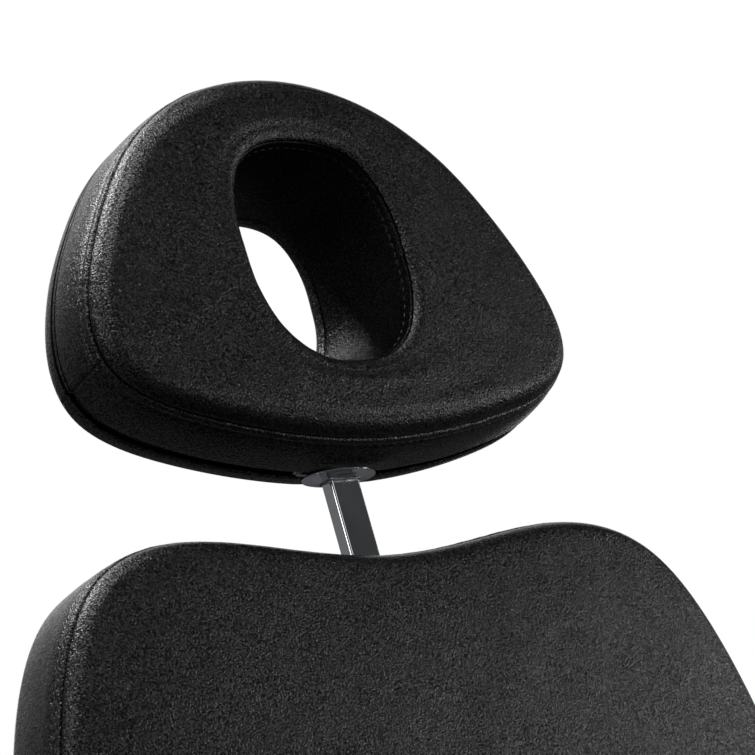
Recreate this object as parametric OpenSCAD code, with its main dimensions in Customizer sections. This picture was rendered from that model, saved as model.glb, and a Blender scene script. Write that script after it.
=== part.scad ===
// Beauty treatment chair: a hydraulic swivel chair with a reclining back, a hinged leg rest,
// lift-up arm pads and a headrest with a face hole on a sliding bar. The chair faces -Y,
// the floor is z = 0 and the column stands on the z axis.

/* [Headrest] */
// Width of the headrest across its front seam
head_w = 400; // [360:1:430]
// Height of the headrest from lower to upper edge
head_h = 275; // [250:1:300]
// Depth of the headrest's side band
head_t = 56; // [53:1:66]
// How much further down the lower edge reaches at the rear of the side band
head_flare = 11; // [0:1:13]
// How much wider each side of the band is at its rear
head_spread = 3; // [0:1:5]
// Rise of the crowned front panel over its seam
head_crown = 16; // [10:1:20]
// Rise of the domed rear panel
head_rear_crown = 33; // [24:1:38]
// Width of the face hole
hole_w = 138; // [110:1:150]
// Height of the face hole
hole_h = 174; // [140:1:182]
// Size of the face hole at the rear, as a share of its size at the front
hole_rear_share = 0.745; // [0.7:0.005:1]
// How far over the middle of the headrest the point lies towards which the hole narrows
hole_rise = 14.4; // [0:0.1:20]
// How far the headrest's seam lies in front of the backrest's seam
head_ahead = 15; // [5:1:25]
// Bar that shows between the backrest's dip and the headrest
neck_gap = 80; // [70:1:110]

/* [Headrest bar] */
// Width of the bar
bar_w = 25; // [20:1:30]
// Thickness of the bar
bar_t = 12; // [10:1:14]
// Length of bar inside the backrest with the headrest as shown
bar_in = 170; // [150:1:200]
// Depth of the bar's middle behind the headrest's front seam
bar_depth = 44; // [42:1:46]
// Travel of the headrest downwards
head_down = 55; // [30:1:60]
// Travel of the headrest upwards
head_up = 90; // [40:1:100]
// Length of the oval metal flanges round the bar
flange_w = 60; // [54:1:70]
// Width of the oval metal flanges
flange_d = 34; // [30:1:38]

/* [Backrest] */
// Width of the backrest
back_w = 594; // [540:1:620]
// Length of the backrest from its lower edge to its shoulders
back_l = 700; // [660:1:740]
// Depth of the backrest's side band
back_t = 64; // [60:1:80]
// Rise of the backrest's crowned front
back_crown = 14; // [8:1:18]
// Angle of the backrest above level, as shown
back_rise = 65; // [55:1:72]
// Steepest angle of the backrest above level
back_steepest = 75; // [73:1:78]

/* [Seat] */
// Width of the seat cushion
seat_w = 560; // [520:1:570]
// Length of the seat cushion
seat_l = 510; // [480:1:520]
// Depth of the seat cushion with its board
seat_t = 90; // [80:1:110]
// Rise of the seat's crown
seat_crown = 14; // [6:1:22]
// Distance of the seat's rear edge behind the column
seat_back_y = 250; // [240:1:260]

/* [Leg rest] */
// Width of the leg rest
leg_w = 520; // [460:1:560]
// Length of the leg rest cushion
leg_l = 430; // [380:1:435]
// Depth of the leg rest cushion with its board
leg_t = 75; // [60:1:80]
// Rise of the leg rest's crown
leg_crown = 12; // [6:1:18]
// Angle of the leg rest below level, as shown
leg_drop = 50; // [40:1:55]
// Steepest angle of the leg rest below level
leg_steepest = 62; // [58:1:64]

/* [Arms] */
// Length of an arm pad
arm_l = 380; // [320:1:400]
// Width of an arm pad
arm_w = 84; // [70:1:90]
// Depth of an arm pad with its board
arm_t = 48; // [40:1:60]
// Height of an arm's pivot
arm_pivot_z = 655; // [630:1:690]
// Distance of an arm's post from the middle of the chair
arm_x = 330; // [324:1:350]
// Distance of an arm's post behind the column
arm_y = 110; // [90:1:125]
// Diameter of an arm post
post_d = 26; // [24:1:28]

/* [Boards and covers] */
// Thickness of the plywood boards
board_t = 12; // [9:1:15]
// Width of the cover that wraps round a board's edge
wrap = 12; // [9:1:15]
// How far a side band bulges between its seams
bulge = 3; // [1:0.5:4]

/* [Seat frame] */
// Height of a frame tube
tube_h = 40; // [35:1:50]
// Width of a frame tube
tube_w = 25; // [20:1:30]
// Wall of a frame tube
tube_wall = 2; // [1.5:0.5:3]
// Distance of a side rail's middle from the middle of the chair
rail_x = 190; // [180:1:200]
// Height of the underside of the frame with the chair at its lowest
frame_z = 380; // [370:1:400]
// Thickness of hinge plates
plate_t = 6; // [5:1:8]
// Half width of a hinge plate's arms
arm_r = 13; // [12:1:14]
// Diameter of the hinge pins
pin_d = 16; // [14:1:18]
// Diameter of the clamping bolts
bolt_d = 10; // [8:1:12]
// Radius of the backrest's clamping slot
back_slot_r = 110; // [106:1:116]
// Radius of the leg rest's clamping slot
leg_slot_r = 84; // [80:1:88]

/* [Clamping levers] */
// Length of a clamping lever from its bolt
lever_l = 120; // [100:1:125]
// Diameter of a lever's rod
lever_d = 9; // [8:1:10]
// Diameter of a lever's grip at its thickest
grip_d = 24; // [20:1:26]

/* [Base] */
// Diameter of the base plate
base_d = 640; // [600:1:680]
// Thickness of the rubber floor pad
pad_t = 4; // [3:1:6]
// Thickness of the base plate
plate_h = 12; // [10:1:16]
// Height of the base cover over its plate
cover_h = 62; // [55:1:70]
// Wall of the base cover and the column tubes
sheet = 2; // [1.5:0.5:3]

/* [Pump and column] */
// Diameter of the pump body
pump_d = 90; // [80:1:94]
// Height of the pump's top
pump_top = 300; // [296:1:304]
// Diameter of the ram
ram_d = 45; // [40:1:50]
// Diameter of the fixed column tube
shroud_d = 110; // [106:1:114]
// Diameter of the column tube that rises with the seat
sleeve_d = 120; // [119:1:124]
// Rise of the seat from its lowest height
lift = 150; // [100:1:150]

/* [Foot pedal] */
// Distance of the pedal's pivot from the column's axis
pedal_x = 66; // [64:1:70]
// Height of the pedal's pivot
pedal_z = 100; // [98:1:104]
// Distance of the pedal's pad from the column's axis
pedal_end_x = 345; // [320:1:360]
// Height of the pedal's pad
pedal_end_z = 132; // [126:1:138]
// Width of the pedal's pad
pedal_w = 100; // [80:1:120]

/* [Hidden] */

// Fits: overrun of a cut, gap between seated pieces, running fit on a radius
cut = 1;
seat_gap = 0.3;
run_gap = 0.05;
slot_gap = 0.5;
fine = 64;

// Colours
black_cover = "#26262a";
black_paint = "#2b2b2d";
bright = "#c9ccd0";
ply = "#b98f5c";
rubber = "#1c1c1c";

// Outlines of the pads. Each list is the control polygon of a smooth closed curve, right half
// from the lower edge to the upper edge, as shares of half the width and half the height.
head_shares = [[0, -1.007], [0.271, -0.983], [0.631, -0.888], [1.001, -0.71], [1.016, -0.233],
    [0.766, 0.446], [0.584, 0.717], [0.356, 0.939], [0, 1.046]];
hole_shares = [[0, -0.965], [0.33, -0.97], [0.775, -0.77], [0.99, -0.33], [0.99, -0.02],
    [1.015, 0.31], [0.845, 0.75], [0.52, 0.955], [0, 1.01]];
// The backrest's and the arm pads' lists run from 0 at the lower edge to 1 at the upper one
back_shares = [[0, 0], [0.33, 0], [0.63, 0], [0.92, 0], [0.94, 0.17], [0.97, 0.31], [0.99, 0.44],
    [1, 0.56], [1, 0.7], [0.98, 0.8], [0.85, 0.97], [0.58, 1.01], [0.3, 0.99], [0, 0.97]];
block_shares = [[0, 0.008], [0.45, 0.008], [0.85, 0], [1, 0], [1, 0.08], [0.985, 0.35],
    [0.985, 0.65], [1, 0.92], [1, 1], [0.85, 1], [0.45, 0.992], [0, 0.992]];
arm_shares = [[0, 0], [0.7, 0], [1, 0.06], [1, 0.2], [0.97, 0.5], [1, 0.8], [1, 0.94], [0.7, 1],
    [0, 1]];
// Height of the backrest's dip between its shoulders, as a share of its length
dip_share = 0.976;
// Crown of a whole pad: each ring's size and rise as shares
crown_shares = [[0.45, 1], [0.85, 0.95], [0.965, 0.75], [0.99, 0.4]];
// Crown of a pad with a hole: each ring's way from the hole to the outer seam, and its rise
collar_shares = [[0, 0.8], [0.1, 0.93], [0.45, 1], [0.83, 0.87], [0.93, 0.62], [0.975, 0.33]];
// Dome of the headrest's rear pad, from the hole to its edge
dome_shares = [[0, 0.9], [0.1, 1], [0.35, 0.95], [0.6, 0.75], [0.8, 0.48], [0.93, 0.22]];
// Points of curve to each control point
pad_steps = 3;
head_steps = 4;

// Headrest: the board behind the bar, with foam in front and a rear pad behind it
bar_plate_t = 5;
front_pocket_z = -bar_depth - bar_t / 2 - bar_plate_t;
head_board_z = front_pocket_z - board_t;
head_pocket = 14;
rear_set = 2.5;
hole_top = head_crown * collar_shares[0][1];
hole_depth = hole_top + head_t + head_rear_crown * dome_shares[0][1];
head_flange_y = -head_h / 2 - head_flare * bar_depth / head_t;
bar_plate_w = 160;
bar_plate_h = 26;
bar_plate_edge = 16;
bar_plate_y = bar_plate_edge - head_h / 2;
flange_h = 4;
flange_out = bulge / 2;
bar_round = 2;

// Backrest: heights over its hinge axis, in its own frame where y runs up the back and z forwards
back_gap = 22;
hinge_under_rim = 26;
back_rear = hinge_under_rim - back_t;
back_axis_y = seat_back_y + back_gap;
seat_rim_z = frame_z + tube_h + seat_t;
back_axis_z = seat_rim_z - hinge_under_rim;
dip_y = back_gap + back_l * dip_share;
head_y = dip_y + neck_gap + head_h / 2;
head_z = hinge_under_rim + head_ahead;
bar_z = head_z - bar_depth;
bar_bottom_y = dip_y - bar_in;
plug_h = 6;

// Socket for the bar
liner_t = 1;
bar_play = 0.1;
socket_wall = 2;
socket_w = bar_w + 2 * (bar_play + liner_t + socket_wall);
socket_t = bar_t + 2 * (bar_play + liner_t + socket_wall);
socket_below = 12;
socket_bottom_y = bar_bottom_y - head_down - plug_h - socket_below;
socket_top_y = dip_y - socket_wall;
block_w = 64;
block_end = 16;
block_bottom_y = socket_bottom_y + block_end;
block_top_y = socket_top_y - block_end;
block_z = back_rear + board_t;
block_t = bar_z - socket_t / 2 - block_z;
knob_under_dip = 60;
knob_y = dip_y - knob_under_dip;
stem_d = 8;
bush_d = 16;
knob_d = 44;
knob_h = 18;
knob_lobes = 6;
lobe_d = 12;
knob_gap = 3;

// Hinge plates and slots
hinge_x = rail_x - tube_w / 2 - plate_t;
play_x = 1;
plate_x = hinge_x - play_x - plate_t;
rail_mid_z = frame_z + tube_h / 2;
slot_half = bolt_d / 2 + slot_gap;
slot_wall = 7;
slot_spare = 1;
plate_spare = 7;
back_bolt_a = -40;
back_bolt = [back_axis_y + back_slot_r * cos(back_bolt_a), back_axis_z + back_slot_r * sin(back_bolt_a)];
back_arm_l = 430;
back_bar_ys = [90, 380];
crossbar_w = 40;
crossbar_t = 5;
bracket_reach = 55;
bracket_half = 15;
strap_half = 10;
pin_boss_r = 15;
bolt_boss_r = 12;

// Leg rest, with its pad's seam over the hinge axis, in a frame where -y runs to the feet
leg_gap = 18;
leg_axis_y = seat_back_y - seat_l - leg_gap;
leg_axis_z = seat_rim_z - leg_t - arm_r;
leg_bolt = [leg_axis_y, leg_axis_z - leg_slot_r];
leg_arm_l = 330;
leg_bar_ys = [-70, -290];
leg_spoke_a = -118;
leg_web_a = -172;

// Pins and bolts
head_flat = 5;
nut_w = 17;
nut_t = 8;
screw_d = 6;
screw_head_d = 12;
screw_head_h = 3;
screw_bite = 9;
seat_screw_in = 35;

// Clamping levers
boss_d = 24;
boss_l = 20;
grip_l = 66;
back_lever_a = -60;
leg_lever_a = -30;

// Seat frame
rail_back_set = 28;
rail_front_y = leg_axis_y + rail_back_set;
rail_rear_y = seat_back_y;
crossbar_ys = [-120, 100];
cap_t = 3;
hub_plate_w = 200;
hub_plate_t = 8;
hub_plate_y = crossbar_ys[0] - tube_w / 2;
hub_plate_l = crossbar_ys[1] + tube_w / 2 - hub_plate_y;
hub_d = 76;
hub_l = 46;
washer_t = 4;
hub_z = frame_z - hub_plate_t;
ram_top = hub_z - washer_t - seat_gap;
sleeve_bottom = 140;
frame_bolt_d = 10;
frame_bolt_head_d = 17;
frame_bolt_head_h = 6;
frame_bolt_x = 70;

// Arms
socket_l = 86;
arm_socket_wall = 4;
arm_socket_r = post_d / 2 + run_gap + arm_socket_wall;
arm_socket_x = 125;
arm_socket_z = frame_z - arm_socket_r;
bend_r = 60;
post_drop = 25;
post_top = arm_pivot_z - post_drop;
tongue_t = 12;
tongue_r = 11;
tongue_play = 0.5;
arm_rail_w = 30;
arm_rail_h = 20;
arm_rail_rear = 14;
arm_rail_l = 300;
arm_slot_l = 18;
arm_pin_d = 10;
arm_pad_up = 16;
arm_pad_out = 12;
arm_pad_rear = 60;
arm_seat_t = arm_pad_up - arm_rail_h / 2;
stop_l = 16;
arm_crown = 7;

// Holes and bores
bolt_hole = frame_bolt_d + 2 * run_gap;
screw_hole = screw_d + 2 * run_gap;
ram_bore = ram_d + 2 * run_gap;
bush_hole = bush_d + 2 * run_gap;
stem_bore = stem_d + 2 * run_gap;
stem_hole = stem_d + 2 * seat_gap;

// Base and pump
pad_inset = 10;
cover_seat = 8;
collar_h = 4;
base_bolt_pcd = 130;
flange_r = 82;
flange_t = 12;
ear_gap = 13;
ear_t = 9;
ear_r = 15;
gland_h = 6;
pedal_pin_d = 14;
pedal_pin_bore = pedal_pin_d + 2 * run_gap;
pedal_boss_r = 15;
pedal_bar_t = 10;
pedal_bar_w = 24;
pedal_plate_l = 64;
pedal_plate_t = 4;
pedal_rubber_t = 8;
pedal_plate_at = [pedal_end_x - pedal_plate_l / 2, pedal_end_z - pedal_bar_t / 2];
rib_w = 5;
rib_n = 7;
slot_side = 17;
slot_top = 135;

// Smooth closed curves
function blend_point(a, b, c, d, t) =
    ((1 - t)^3 * a + (3 * t^3 - 6 * t^2 + 4) * b + (-3 * t^3 + 3 * t^2 + 3 * t + 1) * c + t^3 * d) / 6;
function whole(half) =
    concat(half, [for (i = [len(half) - 2 : -1 : 1]) [-half[i][0], half[i][1]]]);
function smooth_loop(half, sx, sy, steps) =
    let (p = whole(half), m = len(p))
    [for (i = [0 : m - 1]) for (j = [0 : steps - 1])
        let (q = blend_point(p[(i + m - 1) % m], p[i], p[(i + 1) % m], p[(i + 2) % m], j / steps))
        [q[0] * sx, q[1] * sy]];
// A loop moved inwards by d, square to its own edge
function inset(loop, d) =
    let (m = len(loop))
    [for (i = [0 : m - 1])
        let (t = loop[(i + 1) % m] - loop[(i + m - 1) % m])
        loop[i] + d * [-t[1], t[0]] / norm(t)];
function toward(loop, c, f) = [for (p = loop) c + (p - c) * f];
function between(a, b, f) = [for (i = [0 : len(a) - 1]) a[i] * (1 - f) + b[i] * f];
function at_z(loop, z) = [for (p = loop) [p[0], p[1], z]];

// A solid through rings of equal count: closed round on itself, or ended in two middle points
module ring_solid(rings, ends = []) {
    n = len(rings[0]);
    m = len(rings);
    closed = len(ends) == 0;
    points = concat([for (r = rings) each r], ends);
    wall = [for (k = [0 : closed ? m - 1 : m - 2]) for (i = [0 : n - 1])
        let (j = (i + 1) % n, a = k * n, b = ((k + 1) % m) * n)
        each [[a + i, a + j, b + j], [a + i, b + j, b + i]]];
    front = closed ? [] : [for (i = [0 : n - 1]) [m * n, (i + 1) % n, i]];
    rear = closed ? [] : [for (i = [0 : n - 1]) [(m - 1) * n + i, (m - 1) * n + (i + 1) % n, m * n + 1]];
    polyhedron(points = points, faces = concat(front, wall, rear), convexity = 6);
}

// A crowned pad with its seam at z = 0, its band t deep and a pocket for a board in its rear
module pad(loop, c, t, crown) {
    lip = inset(loop, wrap);
    rings = concat(
        [for (s = crown_shares) at_z(toward(loop, c, s[0]), crown * s[1])],
        [at_z(loop, 0), at_z(inset(loop, -bulge), -t / 2), at_z(loop, -t),
            at_z(lip, -t), at_z(lip, board_t - t)]);
    ring_solid(rings, [[c[0], c[1], crown], [c[0], c[1], board_t - t]]);
}
module board(loop, t) {
    translate([0, 0, -t]) linear_extrude(board_t) polygon(inset(loop, wrap));
}

// Loops of the pads, each in its own frame
function head_loop() = smooth_loop(head_shares, head_w / 2, head_h / 2, head_steps);
function hole_loop() = smooth_loop(hole_shares, hole_w / 2, hole_h / 2, head_steps);
// The face hole narrows towards the rear, and the lower edge flares down there
function hole_at(z) = let (k = (1 - hole_rear_share) * (hole_top - z) / hole_depth)
    [for (p = hole_loop()) p * (1 - k) + [0, hole_rise * k]];
function flared(loop, f) = [for (p = loop) [p[0] * (1 + 2 * head_spread / head_w * f),
    p[1] + min(p[1], 0) * 2 / head_h * head_flare * f]];
function back_loop() = smooth_loop(back_shares, back_w / 2, back_l, pad_steps);
function seat_loop() = smooth_loop(block_shares, seat_w / 2, seat_l, pad_steps);
function leg_loop() = smooth_loop(block_shares, leg_w / 2, leg_l, pad_steps);
function arm_loop() = smooth_loop(arm_shares, arm_w / 2, arm_l, pad_steps);
back_c = [0, back_l / 2];
seat_c = [0, seat_l / 2];
leg_c = [0, leg_l / 2];
arm_c = [0, arm_l / 2];

// Frames of the moving parts
module on_back() { translate([0, back_axis_y, back_axis_z]) rotate([back_rise, 0, 0]) children(); }
module on_leg() { translate([0, leg_axis_y, leg_axis_z]) rotate([leg_drop, 0, 0]) children(); }
module on_head() { on_back() translate([0, head_y, head_z]) children(); }
module both_sides() {
    children();
    mirror([1, 0, 0]) children();
}

// Rods along x, y and towards a point, and plates drawn in (y, z)
module rod_x(x0, x1, r) {
    translate([x0, 0, 0]) rotate([0, 90, 0]) cylinder(h = x1 - x0, r = r, $fn = fine);
}
module rod_y(y0, y1, r) {
    translate([0, y0, 0]) rotate([-90, 0, 0]) cylinder(h = y1 - y0, r = r, $fn = fine);
}
module at_yz(p) { translate([0, p[0], p[1]]) children(); }
module plate_yz(x0, t) { translate([x0, 0, 0]) rotate([90, 0, 90]) linear_extrude(t) children(); }
// A strap from a to b, a boss on a pin, and a bar with round ends along the first axis
module strap(a, b, half) {
    d = b - a;
    translate(a) rotate(atan2(d[1], d[0])) translate([0, -half]) square([norm(d), 2 * half]);
}
module boss(p, r) { translate(p) circle(r, $fn = fine); }
module round_bar(x0, x1, y, r) {
    translate([x0, y - r]) square([x1 - x0, 2 * r]);
    boss([x0, y], r);
    boss([x1, y], r);
}
function polar(r, a) = [r * cos(a), r * sin(a)];
module ring_sector(r_in, r_out, a0, a1) {
    reach = 2 * r_out;
    intersection() {
        difference() {
            circle(r_out, $fn = 2 * fine);
            circle(r_in, $fn = 2 * fine);
        }
        polygon([[0, 0], polar(reach, a0), polar(reach, (a0 + a1) / 2), polar(reach, a1)]);
    }
}
// A curved slot between two drilled end holes, which are a little wider than the slot
module arc_slot(r, half, a0, a1) {
    ring_sector(r - half + slot_gap / 2, r + half - slot_gap / 2, a0, a1);
    for (a = [a0, a1]) translate(polar(r, a)) circle(half, $fn = fine);
}
// A rectangle with round corners, and an oval with straight sides, in true arcs
module round_rect(w, h, r) {
    square([w - 2 * r, h], center = true);
    square([w, h - 2 * r], center = true);
    for (x = [-1, 1]) for (y = [-1, 1])
        translate([x * (w / 2 - r), y * (h / 2 - r)]) circle(r, $fn = fine);
}
module tube_bar(w, h, wall, l) {
    linear_extrude(l) difference() {
        square([w, h], center = true);
        square([w - 2 * wall, h - 2 * wall], center = true);
    }
}
module pan_screw(l) {
    rotate([180, 0, 0]) cylinder(h = screw_head_h, d = screw_head_d, $fn = fine);
    cylinder(h = l, d = screw_d, $fn = fine);
}

// Base
module floor_pad() {
    color(rubber) cylinder(h = pad_t, r = base_d / 2 - pad_inset, $fn = 2 * fine);
}
module base_plate() {
    color("#4a4b4d") translate([0, 0, pad_t]) difference() {
        cylinder(h = plate_h, r = base_d / 2, $fn = 2 * fine);
        base_bolt_places() translate([0, 0, -cut])
            cylinder(h = plate_h + 2 * cut, d = bolt_hole, $fn = fine);
    }
}
module base_bolt_places() {
    for (a = [45 : 90 : 315]) rotate(a) translate([base_bolt_pcd / 2, 0, 0]) children();
}
base_top = pad_t + plate_h;
function cover_r(t) = shroud_d / 2 + (base_d / 2 - shroud_d / 2 - cover_seat) * (1 - sin(90 * t));
function cover_z(t) = base_top + cover_seat + (cover_h - cover_seat) * (1 - cos(90 * t));
cover_n = 14;
module base_cover() {
    outer = [for (i = [0 : cover_n]) [cover_r(i / cover_n) + sheet, cover_z(i / cover_n)]];
    inner = [for (i = [cover_n : -1 : 0]) [cover_r(i / cover_n) + seat_gap, cover_z(i / cover_n) - sheet]];
    collar_z = cover_z(1) + collar_h;
    color(bright) rotate_extrude($fn = 2 * fine) polygon(concat(
        [[base_d / 2 - sheet, base_top], [base_d / 2, base_top]],
        [[base_d / 2, base_top + cover_seat]], outer,
        [[shroud_d / 2 + sheet, collar_z], [shroud_d / 2 + seat_gap, collar_z]],
        inner, [[base_d / 2 - sheet, base_top + cover_seat - sheet]]));
}
module base_bolts() {
    color("#8d9094") base_bolt_places() translate([0, 0, pad_t + seat_gap]) {
        cylinder(h = plate_h + flange_t - seat_gap, d = frame_bolt_d, $fn = fine);
        translate([0, 0, plate_h + flange_t - seat_gap])
            cylinder(h = frame_bolt_head_h, d = frame_bolt_head_d, $fn = 6);
    }
}

// Pump with its ears for the pedal
module pump_body() {
    color(black_paint) difference() {
        union() {
            translate([0, 0, base_top]) {
                cylinder(h = flange_t, r = flange_r, $fn = 2 * fine);
                cylinder(h = pump_top - gland_h - base_top, d = pump_d, $fn = 2 * fine);
            }
            for (s = [-1, 1]) translate([0, s * (ear_gap + ear_t / 2) - ear_t / 2, 0])
                rotate([90, 0, 0]) mirror([0, 0, 1]) linear_extrude(ear_t)
                    round_bar(0, pedal_x, pedal_z, ear_r);
        }
        translate([0, 0, base_top + flange_t]) cylinder(h = pump_top, d = ram_bore, $fn = 2 * fine);
        translate([pedal_x, 0, pedal_z]) rod_y(-pump_d, pump_d, pedal_pin_bore / 2);
        base_bolt_places() cylinder(h = base_top + flange_t + cut, d = bolt_hole, $fn = fine);
    }
}
module column_shroud() {
    bottom = base_top + flange_t;
    color(bright) difference() {
        translate([0, 0, bottom]) cylinder(h = pump_top - gland_h - bottom, d = shroud_d, $fn = 2 * fine);
        translate([0, 0, bottom - cut]) cylinder(h = pump_top, d = shroud_d - 2 * sheet, $fn = 2 * fine);
        translate([0, -ear_gap - ear_t - seat_gap, pedal_z - ear_r - cover_seat])
            cube([shroud_d, 2 * (ear_gap + ear_t + seat_gap), slot_top - pedal_z + ear_r + cover_seat]);
    }
}
module column_seal() {
    color(rubber) translate([0, 0, pump_top - gland_h]) difference() {
        cylinder(h = gland_h, d = shroud_d, $fn = 2 * fine);
        translate([0, 0, -cut]) cylinder(h = gland_h + 2 * cut, d = ram_bore, $fn = 2 * fine);
    }
}

// Foot pedal
module pedal_pin() {
    color(bright) translate([pedal_x, 0, pedal_z])
        rod_y(-ear_gap - ear_t, ear_gap + ear_t, pedal_pin_d / 2);
}
module pedal_lever() {
    color(black_paint) difference() {
        union() {
            translate([0, -pedal_bar_w / 2, 0]) rotate([90, 0, 0]) mirror([0, 0, 1])
                linear_extrude(pedal_bar_w) {
                    boss([pedal_x, pedal_z], pedal_boss_r);
                    strap([pedal_x, pedal_z], pedal_plate_at, pedal_bar_t / 2);
                    boss(pedal_plate_at, pedal_bar_t / 2);
                }
            translate([pedal_end_x - pedal_plate_l / 2, -pedal_w / 2, pedal_end_z - pedal_plate_t])
                cube([pedal_plate_l, pedal_w, pedal_plate_t]);
        }
        translate([pedal_x, 0, pedal_z]) rod_y(-pump_d, pump_d, pedal_pin_bore / 2);
    }
}
module pedal_pad() {
    pitch = pedal_w / rib_n;
    color(rubber) translate([pedal_end_x - pedal_plate_l / 2, -pedal_w / 2, pedal_end_z]) {
        cube([pedal_plate_l, pedal_w, pedal_rubber_t / 2]);
        for (i = [0 : rib_n - 1]) translate([0, (i + 1 / 2) * pitch - rib_w / 2, 0])
            cube([pedal_plate_l, rib_w, pedal_rubber_t]);
    }
}

// Ram, hub and the column tube that rises with the seat
module ram() {
    bottom = base_top + flange_t + seat_gap;
    color(bright) translate([0, 0, bottom]) cylinder(h = ram_top - bottom, d = ram_d, $fn = 2 * fine);
}
module thrust_washer() {
    color("#c9a550") translate([0, 0, ram_top]) cylinder(h = washer_t, d = ram_d, $fn = 2 * fine);
}
module swivel_hub() {
    color(black_paint) difference() {
        union() {
            translate([-hub_plate_w / 2, hub_plate_y, hub_z]) cube([hub_plate_w, hub_plate_l, hub_plate_t]);
            translate([0, 0, hub_z - hub_l]) cylinder(h = hub_l, d = hub_d, $fn = 2 * fine);
        }
        translate([0, 0, hub_z - hub_l - cut]) cylinder(h = hub_l + cut, d = ram_bore, $fn = 2 * fine);
        hub_bolt_places() translate([0, 0, hub_z - cut])
            cylinder(h = hub_plate_t + 2 * cut, d = bolt_hole, $fn = fine);
    }
}
module hub_bolt_places() {
    for (x = [-1, 1]) for (y = crossbar_ys) translate([x * frame_bolt_x, y, 0]) children();
}
module column_sleeve() {
    color(bright) difference() {
        translate([0, 0, sleeve_bottom]) cylinder(h = hub_z - sleeve_bottom, d = sleeve_d, $fn = 2 * fine);
        translate([0, 0, sleeve_bottom - cut])
            cylinder(h = hub_z - sleeve_bottom - sheet + cut, d = sleeve_d - 2 * sheet, $fn = 2 * fine);
        translate([0, 0, hub_z - 2 * sheet])
            cylinder(h = 3 * sheet, d = hub_d + 2 * seat_gap, $fn = 2 * fine);
    }
}
module hub_bolts() {
    color("#8d9094") hub_bolt_places() translate([0, 0, hub_z]) {
        cylinder(h = hub_plate_t + tube_wall, d = frame_bolt_d, $fn = fine);
        translate([0, 0, -frame_bolt_head_h])
            cylinder(h = frame_bolt_head_h, d = frame_bolt_head_d, $fn = 6);
    }
}

// Seat frame
module frame_rails() {
    color(black_paint) both_sides() difference() {
        translate([rail_x, rail_front_y, rail_mid_z]) rotate([-90, 0, 0])
            tube_bar(tube_w, tube_h, tube_wall, rail_rear_y - rail_front_y);
        seat_screw_places() translate([0, 0, -tube_h]) cylinder(h = 2 * tube_h, d = screw_hole, $fn = fine);
    }
}
module frame_crossbars() {
    half = rail_x - tube_w / 2;
    color(black_paint) for (y = crossbar_ys) difference() {
        translate([-half, y, rail_mid_z]) rotate([90, 0, 90]) tube_bar(tube_w, tube_h, tube_wall, 2 * half);
        hub_bolt_places() translate([0, 0, frame_z - cut])
            cylinder(h = tube_h / 2, d = bolt_hole, $fn = fine);
    }
}
module rail_caps() {
    color(rubber) both_sides() for (end = [[rail_front_y, -1], [rail_rear_y, 1]])
        translate([rail_x, end[0], rail_mid_z]) rotate([-90 * end[1], 0, 0])
            linear_extrude(cap_t) round_rect(tube_w, tube_h, cap_t);
}
module hinge_brackets() {
    back_axis = [back_axis_y, back_axis_z];
    leg_axis = [leg_axis_y, leg_axis_z];
    color(black_paint) both_sides() plate_yz(hinge_x, plate_t) {
        difference() {
            union() {
                translate([rail_rear_y - bracket_reach, rail_mid_z - bracket_half])
                    square([back_gap + bracket_reach + strap_half, 2 * bracket_half]);
                strap(back_axis, [back_axis_y, rail_mid_z], strap_half);
                strap([back_axis_y, rail_mid_z], back_bolt, strap_half);
                boss(back_axis, pin_boss_r);
                boss(back_bolt, bolt_boss_r);
            }
            boss(back_axis, pin_d / 2 + run_gap);
            boss(back_bolt, bolt_d / 2 + run_gap);
        }
        difference() {
            union() {
                translate([leg_axis_y - strap_half, rail_mid_z - bracket_half])
                    square([rail_back_set + bracket_reach + strap_half, 2 * bracket_half]);
                strap(leg_axis, leg_bolt, strap_half);
                boss(leg_axis, arm_r);
                boss(leg_bolt, bolt_boss_r);
            }
            boss(leg_axis, pin_d / 2 + run_gap);
            boss(leg_bolt, bolt_d / 2 + run_gap);
        }
    }
}
module hinge_pins() {
    color(bright) both_sides() for (p = [[back_axis_y, back_axis_z], [leg_axis_y, leg_axis_z]]) at_yz(p) {
        rod_x(plate_x - play_x - cap_t, hinge_x + plate_t, pin_d / 2);
        rod_x(hinge_x + plate_t, hinge_x + plate_t + head_flat, arm_r);
        rod_x(plate_x - play_x - 2 * cap_t, plate_x - play_x - cap_t, pin_d / 2 + cap_t);
    }
}
// The left side's slots run on plain bolts, the right side's on the levers' bolts
module guide_bolts() {
    color("#8d9094") mirror([1, 0, 0]) for (p = [back_bolt, leg_bolt]) at_yz(p) {
        rod_x(plate_x - nut_t - play_x, hinge_x + plate_t, bolt_d / 2);
        rod_x(hinge_x + plate_t, hinge_x + plate_t + head_flat, nut_w / 2);
    }
}
module clamp_nuts() {
    color("#8d9094") both_sides() for (p = [back_bolt, leg_bolt]) at_yz(p) difference() {
        translate([plate_x - play_x / 2 - nut_t, 0, 0]) rotate([0, 90, 0])
            cylinder(h = nut_t, d = nut_w, $fn = 6);
        rod_x(0, rail_x, bolt_d / 2 + run_gap);
    }
}

// Seat pad and board
module at_seat() { translate([0, seat_back_y - seat_l, seat_rim_z]) children(); }
module seat_screw_places() {
    for (y = crossbar_ys) translate([rail_x, y + seat_screw_in, frame_z + tube_h]) children();
}
module seat_board() {
    color(ply) difference() {
        at_seat() board(seat_loop(), seat_t);
        both_sides() seat_screw_places() translate([0, 0, -cut])
            cylinder(h = screw_bite + cut, d = screw_hole, $fn = fine);
    }
}
module seat_cushion() { color(black_cover) at_seat() pad(seat_loop(), seat_c, seat_t, seat_crown); }
module seat_screws() {
    color("#8d9094") both_sides() seat_screw_places()
        translate([0, 0, -tube_h]) pan_screw(tube_h + screw_bite - seat_gap);
}

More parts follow.
